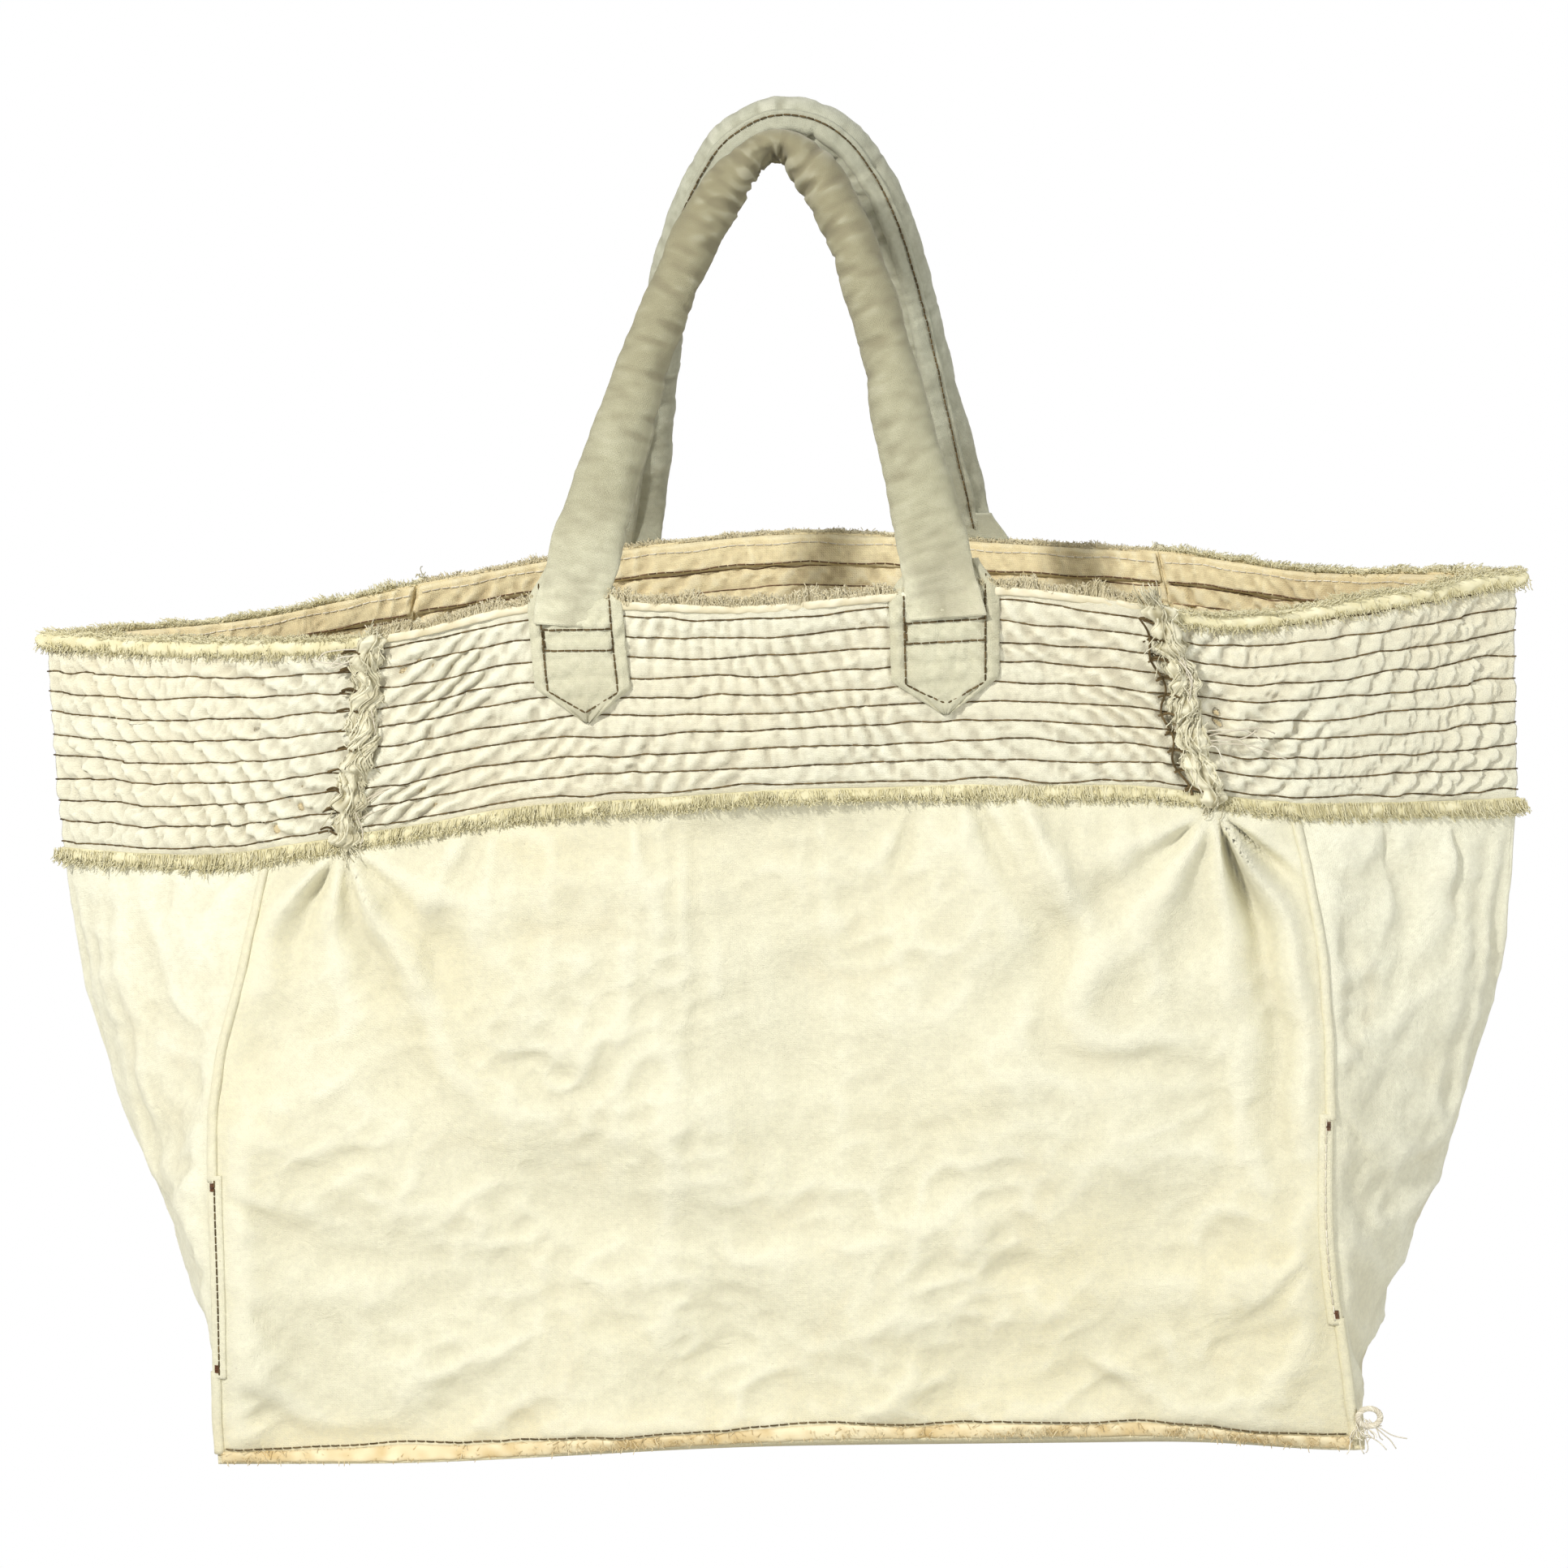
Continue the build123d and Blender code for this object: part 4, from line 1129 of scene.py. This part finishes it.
def handleSurface(face, count, angle, lift=0.0):
    # Padded cover: an oval that is pressed flat at both ends and pinched at the crown. The angle runs
    # from the inside of the arch, 0, to the side that faces the other handle, a quarter turn.
    centre, _, inward, facing, at = handleLine(face, count)
    total = at[-1]
    near = np.minimum(at, total - at)
    crown = np.abs(at - total / 2)
    wide = 10.2 + 4.8 * (1 - smooth(near, 15, 130)) + 1.2 * (1 - smooth(near, 0, 22))
    deep = 9.9 * smooth(near, 1, 66) ** 0.9 + 0.7
    squeeze = handles[face]["pinch"] * np.exp(-((crown / 17) ** 2))
    wide, deep = wide * (1 - squeeze), deep * (1 + 0.12 * squeeze)
    sag = inward * (-2.0 * squeeze)[:, None]
    angle = np.broadcast_to(angle, (count, np.shape(angle)[-1]))
    cos, sin = np.cos(angle), np.sin(angle)
    spot = np.stack([at[:, None] + 0 * angle, 11 * cos, 11 * sin], -1)
    inner = 0.5 + 0.5 * cos
    seed = 45 if face == "front" else 55
    rings = np.maximum(ripple(spot, 11, seed, stretch=(0.55, 2.2, 2.2)), 0.15) - 0.15
    fine = ripple(spot, 6.5, seed + 1, stretch=(0.7, 1.5, 1.5))
    soft = ripple(spot, 26, seed + 2)
    bent = (smooth(near, 60, 130) * 0.5 + 0.25) + 1.3 * np.exp(-((crown / 42) ** 2))
    crease = np.sin(2 * np.pi * at[:, None] / 9.5 + 1.4 * np.sin(angle * 2) + 3 * soft)
    atCrown = np.exp(-((crown / 34) ** 2))[:, None]
    relief = 0.6 * soft - 0.95 * rings * bent[:, None] * (0.35 + 0.65 * inner) + 0.13 * fine
    if handles[face]["pinch"] > 0.2:
        patchy = np.clip(0.55 + 0.7 * ripple(spot, 34, seed + 4), 0, 1.3)
        relief = relief - 1.6 * atCrown * inner * np.maximum(crease, 0) * patchy
    relief = relief + lift
    point = centre[:, None] + sag[:, None] + inward[:, None] * ((wide[:, None] + relief) * cos)[..., None]
    return point + facing[:, None] * ((deep[:, None] + relief) * sin)[..., None]


def buildHandle(face, material, thread, rng):
    # Padded tube of the handle, the doubled flange along it and the stitches beside the flange.
    count, sides = 420, 60
    angle = np.linspace(0, 2 * np.pi, sides, endpoint=False)[None, :]
    rings = handleSurface(face, count, angle)
    at = handleLine(face, count)[4]
    tips = rings[[0, -1]].mean(1)
    points = np.concatenate([rings.reshape(-1, 3), tips])
    quads = quadGrid(count, sides, wrap=True)
    j = np.arange(sides)
    nextJ = (j + 1) % sides
    low = np.stack([j, nextJ, np.full(sides, count * sides)], -1)[:, ::-1]
    high = np.stack([(count - 1) * sides + j, (count - 1) * sides + nextJ,
                     np.full(sides, count * sides + 1)], -1)
    if enclosed(points, quads) < 0:
        quads, low, high = quads[:, ::-1], low[:, ::-1], high[:, ::-1]
    uv = np.stack(np.broadcast_arrays((angle - np.pi) * 0.012 + 0.9, at[:, None] / 1000), -1).reshape(-1, 2)
    uv = np.concatenate([uv, uv[:1], uv[-1:]])
    # Tone from the cover's relief: the handle canvas paints shade into its creases and light onto its
    # raised parts.
    level = averaged(averaged(rings, 4, 0), 3, 1)
    raised = ((rings - level) * unit(rings - rings.mean(1, keepdims=True))).sum(-1)
    tone = np.concatenate([np.clip(0.5 + (raised - np.median(raised)) / 1.0, 0, 1).ravel(), [0.5, 0.5]])
    cover = makeMesh(face + "HandleCover", points, [quads, low, high], material, uv, tone)

    rows = np.arange(9, count - 9)
    middle = 90.0 if face == "front" else 114.0
    phi = np.radians(middle + np.linspace(14, -34, 12))[None, :]
    share = np.linspace(0, 1, 12)[None, :]
    fold = 0.8 + 1.15 * smooth(share, 0.0, 0.12) + 1.5 * bump(share, 0.78, 0.2)
    fold = fold - 0.55 * bump(share, 0.3, 0.08)
    fold = fold * smooth(np.minimum(rows, count - 1 - rows), 8, 22)[:, None]
    spot = onCloth(at[rows][:, None], share * 12)
    fold = fold + 0.3 * ripple(spot, 18, 65) + 0.15 * ripple(spot, 7, 66)
    over = handleSurface(face, count, phi, 0)[rows]
    outward = unit(handleSurface(face, count, phi, 1)[rows] - over)
    flange = slab(face + "HandleFlange", over + outward * fold[..., None], over - outward * 0.8,
                  panelUv(share * 12 + 950, at[rows][:, None]), material)
    marks = np.linspace(16, count - 17, 152)
    part = np.linspace(0.08, 0.92, 5)[None, :]
    row = mix(marks[:-1, None], marks[1:, None], part)
    seam = handleSurface(face, count, np.radians([[middle]]), 0)[:, 0]
    away = unit(handleSurface(face, count, np.radians([[middle]]), 1)[:, 0] - seam)
    path = np.stack([np.interp(row, np.arange(count), (seam + away * 2.0)[:, n]) for n in range(3)], -1)
    lift = np.stack([np.interp(row, np.arange(count), away[:, n]) for n in range(3)], -1)
    path = path + lift * (0.35 * np.sin(part * np.pi) - 0.15)[..., None]
    stitches = tubes(face + "HandleStitches", path, 0.38, thread, sides=5, tone=rng.random(len(path)))
    for piece, kind in ((cover, "handle_canvas"), (flange, "handle_canvas"), (stitches, "thread")):
        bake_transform(piece)
    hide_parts(face + "_handle_cover", face + "_handle_core")


class Shade:
    # A shader socket with arithmetic, so that a formula reads as one.

    def __init__(self, tree, socket):
        self.tree, self.socket = tree, socket

    def node(self, kind, settings=None, **inputs):
        made = self.tree.nodes.new("ShaderNode" + kind)
        for key, value in (settings or {}).items():
            setattr(made, key, value)
        for key, value in inputs.items():
            target = (made.inputs[int(key[1:])] if key[0] == "i" and key[1:].isdigit()
                      else made.inputs[key.replace("_", " ")])
            if isinstance(value, Shade):
                self.tree.links.new(value.socket, target)
            else:
                target.default_value = value
        return made

    def maths(self, operation, other=0.0, swap=False):
        a, b = (other, self) if swap else (self, other)
        return Shade(self.tree, self.node("Math", {"operation": operation}, i0=a, i1=b).outputs[0])

    def __add__(self, other):
        return self.maths("ADD", other)

    def __sub__(self, other):
        return self.maths("SUBTRACT", other)

    def __rsub__(self, other):
        return self.maths("SUBTRACT", other, swap=True)

    def __mul__(self, other):
        return self.maths("MULTIPLY", other)

    __radd__, __rmul__ = __add__, __mul__

    def clamped(self, low, high):
        # 0 below low, 1 above high, smooth between.
        made = self.node("MapRange", {"interpolation_type": "SMOOTHSTEP"}, Value=self, From_Min=low,
                         From_Max=high)
        return Shade(self.tree, made.outputs[0])

    def noise(self, scale, detail=3.0, rough=0.55, distortion=0.0):
        made = self.node("TexNoise", None, Vector=self, Scale=scale, Detail=detail, Roughness=rough,
                         Distortion=distortion)
        return Shade(self.tree, made.outputs[0])

    def colours(self, other, share):
        # Colour mix from this one to the other.
        made = self.node("Mix", {"data_type": "RGBA"}, i0=share, i6=self, i7=other)
        return Shade(self.tree, made.outputs[2])


def newMaterial(name):
    # A material with its place, in metres, and its flat cloth coordinates as sockets.
    material = bpy.data.materials.new(name)
    material.use_nodes = True
    tree = material.node_tree
    shader = tree.nodes["Principled BSDF"]
    start = Shade(tree, None)
    place = Shade(tree, start.node("TexCoord").outputs["Object"])
    flat = Shade(tree, start.node("UVMap", {"uv_map": "UVMap"}).outputs[0])
    return material, tree, shader, start, place, flat


def colour(start, value):
    # A plain colour as a socket.
    made = start.node("RGB")
    made.outputs[0].default_value = (*value, 1)
    return Shade(start.tree, made.outputs[0])


cloths = {
    # main and second tint; stain tint and amount; weave pitch in mm and depth; rumple depth; grain and its
    # tint, shade; painted shade in the creases: its tint, crease, and share, deep; painted light on the
    # ridges:
    # its share, paintedRidgeLight; tint along the base, low
    "body": {"main": (0.79, 0.76, 0.58), "second": (0.775, 0.72, 0.50),
             "stain": (0.68, 0.56, 0.34), "amount": 0.22, "pitch": 0.62, "weave": 0.24, "rumple": 1.6,
             "grain": 0.5, "shade": (0.60, 0.57, 0.44),
             "crease": (0.50, 0.45, 0.30), "paintedRidgeLight": 0.2, "deep": 0.16, "low": (0.79, 0.66, 0.36)},
    # The side pieces wear a paler copy of the body canvas: painted light that lifts them to the brightness
    # of the front.
    "side": {"main": (0.85, 0.83, 0.66), "second": (0.81, 0.77, 0.57),
             "stain": (0.68, 0.56, 0.34), "amount": 0.24, "pitch": 0.62, "weave": 0.24, "rumple": 1.6,
             "grain": 0.5, "shade": (0.60, 0.57, 0.44),
             "crease": (0.50, 0.45, 0.30), "paintedRidgeLight": 0.2, "deep": 0.16, "low": (0.79, 0.66, 0.36)},
    "band": {"main": (0.82, 0.80, 0.635), "second": (0.80, 0.735, 0.54),
             "stain": (0.60, 0.50, 0.32), "amount": 0.24, "pitch": 0.62, "weave": 0.24, "rumple": 0.6,
             "grain": 0.46, "shade": (0.58, 0.54, 0.42),
             "crease": (0.40, 0.35, 0.25), "paintedRidgeLight": 0.3, "deep": 0.5, "low": None},
    "handle": {"main": (0.76, 0.74, 0.56), "second": (0.56, 0.52, 0.365),
               "stain": (0.36, 0.31, 0.19), "amount": 0.40, "pitch": 0.62, "weave": 0.3, "rumple": 0.5,
               "grain": 0.42, "shade": (0.46, 0.44, 0.29),
               "crease": (0.22, 0.19, 0.12), "paintedRidgeLight": 0.15, "deep": 0.5, "low": None},
    "backHandle": {"main": (0.53, 0.535, 0.42), "second": (0.47, 0.46, 0.345),
                   "stain": (0.36, 0.31, 0.19), "amount": 0.30, "pitch": 0.62, "weave": 0.3, "rumple": 0.5,
                   "grain": 0.5, "shade": (0.34, 0.33, 0.24),
                   "crease": (0.24, 0.22, 0.15), "paintedRidgeLight": 0.25, "deep": 0.4, "low": None},
    "inside": {"main": (0.90, 0.79, 0.50), "second": (0.80, 0.66, 0.38),
               "stain": (0.50, 0.36, 0.19), "amount": 0.34, "pitch": 0.62, "weave": 0.3, "rumple": 0.4,
               "grain": 0.45, "shade": (0.58, 0.46, 0.26),
               "crease": (0.44, 0.33, 0.18), "paintedRidgeLight": 0.2, "deep": 0.45, "low": None},
}
handleKind = {"front": "handle", "back": "backHandle"}


def clothMaterial(kind):
    # Canvas: a plain weave of two sets of rounded threads, slow tint changes, blotchy stains and a few
    # dark specks. The body turns yellow along its base.
    look = cloths[kind]
    material, tree, shader, start, place, flat = newMaterial(kind + "Canvas")
    parts = start.node("SeparateXYZ", None, Vector=flat)
    u, v = (Shade(tree, parts.outputs[n]) for n in (0, 1))
    turns = 2 * math.pi / (look["pitch"] / 1000)
    wobble = flat.noise(90.0, 2.0) * 2.2
    warp, weft = (u * turns + wobble).maths("SINE"), (v * turns + wobble).maths("SINE")
    over = (u * (turns / 2)).maths("SINE") * (v * (turns / 2)).maths("SINE")
    weave = warp * 0.5 + weft * 0.5 + over * 0.6
    slub = flat.noise(700.0, 2.0)
    broad, blotch = place.noise(7.0, 4.0, 0.6, 0.4), place.noise(17.0, 5.0, 0.62, 0.9)
    specks = place.noise(420.0, 2.0, 0.5)
    tint = colour(start, look["main"]).colours(colour(start, look["second"]), broad.clamped(0.42, 0.74))
    stains = blotch.clamped(0.54, 0.76) * look["amount"]
    tint = tint.colours(colour(start, look["stain"]), stains)
    tint = tint.colours(colour(start, (0.30, 0.22, 0.13)), specks.clamped(0.74, 0.80) * 0.35)
    if look["low"]:
        z = Shade(tree, start.node("SeparateXYZ", None, Vector=place).outputs[2])
        drift = place.noise(26.0, 4.0, 0.6) * 0.03
        near = 1.0 - (z + drift).clamped(0.012, 0.045)
        tint = tint.colours(colour(start, look["low"]), near * 0.55)
    tint = tint.colours(colour(start, (0.35, 0.28, 0.18)),
                        (weave * 0.5 + slub).clamped(-0.9, 0.4) * -0.10 + 0.10)
    fineGrain, broadGrain = flat.noise(520.0, 3.0, 0.65), place.noise(260.0, 3.0, 0.6)
    grain = fineGrain.clamped(0.3, 0.7) * 0.5 + broadGrain.clamped(0.35, 0.7) * 0.5
    tint = tint.colours(colour(start, look["shade"]), grain * look["grain"])
    # The handle darkens with height above its tabs and more towards the crown: partly its own darker cloth,
    # partly painted shade, as the upright handle takes less light than the tabs that face forward.
    if kind == "handle":
        tall = Shade(tree, start.node("SeparateXYZ", None, Vector=place).outputs[2])
        tint = tint.colours(colour(start, (0.36, 0.345, 0.225)),
                            (tall + place.noise(20.0, 3.0) * 0.02).clamped(0.37, 0.43) * 0.72)
        tint = tint.colours(colour(start, (0.25, 0.22, 0.125)),
                            (tall + place.noise(20.0, 3.0) * 0.05).clamped(0.44, 0.57) * 0.72)
    tone = Shade(tree, start.node("Attribute", {"attribute_name": "tone"}).outputs["Fac"])
    # Painted shade in the creases and painted light on the ridges, both read from the tone attribute, which
    # follows the relief of the cloth.
    tint = tint.colours(colour(start, look["crease"]), (1.0 - tone).clamped(0.3, 1.0) * look["deep"])
    tint = tint.colours(colour(start, (0.88, 0.86, 0.72)), tone.clamped(0.55, 1.0) * look["paintedRidgeLight"])
    ridged = 1.0 - (place.noise(55.0, 6.0, 0.6, 0.7) - 0.5).maths("ABSOLUTE") * 4.0
    nubs = flat.noise(900.0, 2.0, 0.7)
    height = (weave * look["weave"] + slub * 0.5 + nubs * 0.5 + place.noise(160.0, 3.0) * look["rumple"]
              + ridged * look["rumple"])
    bumped = start.node("Bump", None, Strength=0.6, Distance=0.0004, Height=height)
    tree.links.new(tint.socket, shader.inputs["Base Color"])
    tree.links.new(bumped.outputs[0], shader.inputs["Normal"])
    tree.links.new((slub * 0.1 + 0.84).socket, shader.inputs["Roughness"])
    shader.inputs["Specular IOR Level"].default_value = 0.18
    shader.inputs["Sheen Weight"].default_value = 0.12
    return material


def threadMaterial(name, dark, light, rough=0.8):
    # Thread or frayed yarn: each strand has its own tint between two, with slow blotches along the piece.
    material, tree, shader, start, place, _ = newMaterial(name)
    tone = Shade(tree, start.node("Attribute", {"attribute_name": "tone"}).outputs["Fac"])
    patchy = place.noise(30.0, 3.0)
    share = tone * 0.7 + patchy * 0.6 - 0.15
    tint = colour(start, dark).colours(colour(start, light), share.clamped(0.0, 1.0))
    fine = place.noise(900.0, 2.0)
    bumped = start.node("Bump", None, Strength=0.3, Distance=0.0002, Height=fine)
    tree.links.new(tint.socket, shader.inputs["Base Color"])
    tree.links.new(bumped.outputs[0], shader.inputs["Normal"])
    tree.links.new((fine * 0.15 + rough - 0.1).socket, shader.inputs["Roughness"])
    shader.inputs["Specular IOR Level"].default_value = 0.2
    return material


canvas = {kind: clothMaterial(kind) for kind in cloths}
yarn = {
    "rim": threadMaterial("rimYarn", (0.66, 0.58, 0.37), (0.86, 0.80, 0.62)),
    "hem": threadMaterial("hemYarn", (0.62, 0.56, 0.32), (0.86, 0.81, 0.58)),
    "gather": threadMaterial("gatherYarn", (0.36, 0.315, 0.18), (0.84, 0.80, 0.61)),
    "base": threadMaterial("baseYarn", (0.62, 0.46, 0.22), (0.84, 0.74, 0.50)),
    "dark": threadMaterial("darkThread", (0.070, 0.048, 0.020), (0.17, 0.12, 0.055), 0.95),
    "brown": threadMaterial("brownThread", (0.10, 0.055, 0.03), (0.22, 0.13, 0.075), 0.9),
    "rust": threadMaterial("rustThread", (0.07, 0.032, 0.02), (0.20, 0.085, 0.04), 0.9),
    "pale": threadMaterial("paleThread", (0.60, 0.54, 0.42), (0.86, 0.81, 0.68), 0.7),
}
print("materials made")

for name in ("front", "back"):
    panel = buildPanel(name, canvas["body"])
    hang(panel, "bag", name + "_panel", slot="body_canvas")
for name in ("left", "right"):
    # the side pieces take the paler copy of the body canvas, which is painted light
    gusset = buildGusset(name, canvas["side"])
    hang(gusset, "bag", name + "_gusset", slot="body_canvas")
base(canvas["body"])
print("body made")

rng = np.random.default_rng(4)
for part in bands:
    buildBand(part, canvas["band"], canvas["inside"])
    stitchBand(part, yarn["dark"], yarn["brown"])
    rimFringe(part, yarn["rim" if part in ("front", "back") else "hem"], rng)
    hemFringe(part, yarn["hem"], rng)
    facing(part, canvas["inside"], yarn["brown"], yarn["pale"], rng)
print("band made")

for face in ("front", "back"):
    for hand in ("left", "right"):
        gatheredSeam(face, hand, yarn["gather"], yarn["dark"], rng)
        sideSeam(face, hand, canvas["body"])
        buildTab(face, hand, canvas[handleKind[face]], yarn["dark"], rng)
        patch(face, hand, canvas["inside"], yarn["dark"], rng)
    baseFringe(face, yarn["base"], yarn["dark"], rng)
    buildHandle(face, canvas[handleKind[face]], yarn["dark"], rng)
for hand in ("left", "right"):
    pocket(hand, canvas["body"], canvas["inside"], yarn["dark" if hand == "left" else "pale"],
           yarn["rust"], rng)
cornerKnot(yarn["pale"], rng)
looseThreads(yarn["pale"])
print("trims and handles made")

scene = bpy.context.scene
azimuth, elevation, roll = (math.radians(v) for v in (4.0, 12.0, 2.0))
aim, distance, viewWidth = Vector((0.0035, 0, 0.276)), 1.6, 0.6762   # metres
back = Vector((math.sin(azimuth) * math.cos(elevation), -math.cos(azimuth) * math.cos(elevation),
               math.sin(elevation)))
lens = bpy.data.cameras.new("view")
camera = bpy.data.objects.new("view", lens)
scene.collection.objects.link(camera)
scene.camera = camera
camera.location = aim + back * distance
turned = (-back).to_track_quat("-Z", "Y").to_matrix() @ Matrix.Rotation(-roll, 3, "Z")
camera.rotation_euler = turned.to_euler()
lens.sensor_width, lens.lens = 36.0, 36.0 * distance / viewWidth


def softLight(name, place, target, size, power, tint):
    # A round soft lamp that looks at its target.
    data = bpy.data.lights.new(name, "AREA")
    data.shape, data.size, data.energy, data.color = "DISK", size, power, tint
    lamp = bpy.data.objects.new(name, data)
    lamp.location = place
    lamp.rotation_euler = (Vector(target) - Vector(place)).to_track_quat("-Z", "Y").to_euler()
    scene.collection.objects.link(lamp)


softLight("key", (-1.3, -2.1, 1.95), (0, 0, 0.22), 0.3, 73, (1.0, 0.99, 0.96))
softLight("fill", (2.2, -1.6, 0.7), (0, 0, 0.2), 1.3, 22, (0.97, 0.99, 1.0))
softLight("behind", (0.7, 2.5, 1.5), (0, 0, 0.2), 1.4, 27, (0.98, 0.99, 1.0))
world = bpy.data.worlds.new("studio")
scene.world = world
world.use_nodes = True
world.node_tree.nodes["Background"].inputs[0].default_value = (1, 1, 1, 1)
world.node_tree.nodes["Background"].inputs[1].default_value = 0.4
scene.view_settings.view_transform = "Standard"

# the floor curves up into a round backdrop: a profile turned about the upright axis
profile = np.array([(0.002, 0), (0.9, 0), (2.4, 0), (2.75, 0.09), (3.0, 0.35), (3.1, 0.8), (3.1, 2.6)])
turn = np.linspace(0, 2 * np.pi, 97)[:-1]
bowl = np.stack([profile[:, :1] * np.cos(turn), profile[:, :1] * np.sin(turn), profile[:, 1:] + 0 * turn],
                -1) * 1000
plain = bpy.data.materials.new("floorPaint")
plain.use_nodes = True
tree = plain.node_tree
paint = tree.nodes["Principled BSDF"]
paint.inputs["Base Color"].default_value = (0.58, 0.58, 0.57, 1)
paint.inputs["Roughness"].default_value = 0.9
glow = tree.nodes.new("ShaderNodeEmission")
glow.inputs[0].default_value = (1, 1, 1, 1)
seen = tree.nodes.new("ShaderNodeLightPath")
either = tree.nodes.new("ShaderNodeMixShader")
tree.links.new(seen.outputs["Is Camera Ray"], either.inputs[0])
tree.links.new(paint.outputs[0], either.inputs[1])
tree.links.new(glow.outputs[0], either.inputs[2])
tree.links.new(either.outputs[0], tree.nodes["Material Output"].inputs[0])
floor = makeMesh("floor", bowl - [0, 0, 0.2], [quadGrid(len(profile), 96, wrap=True)], plain)
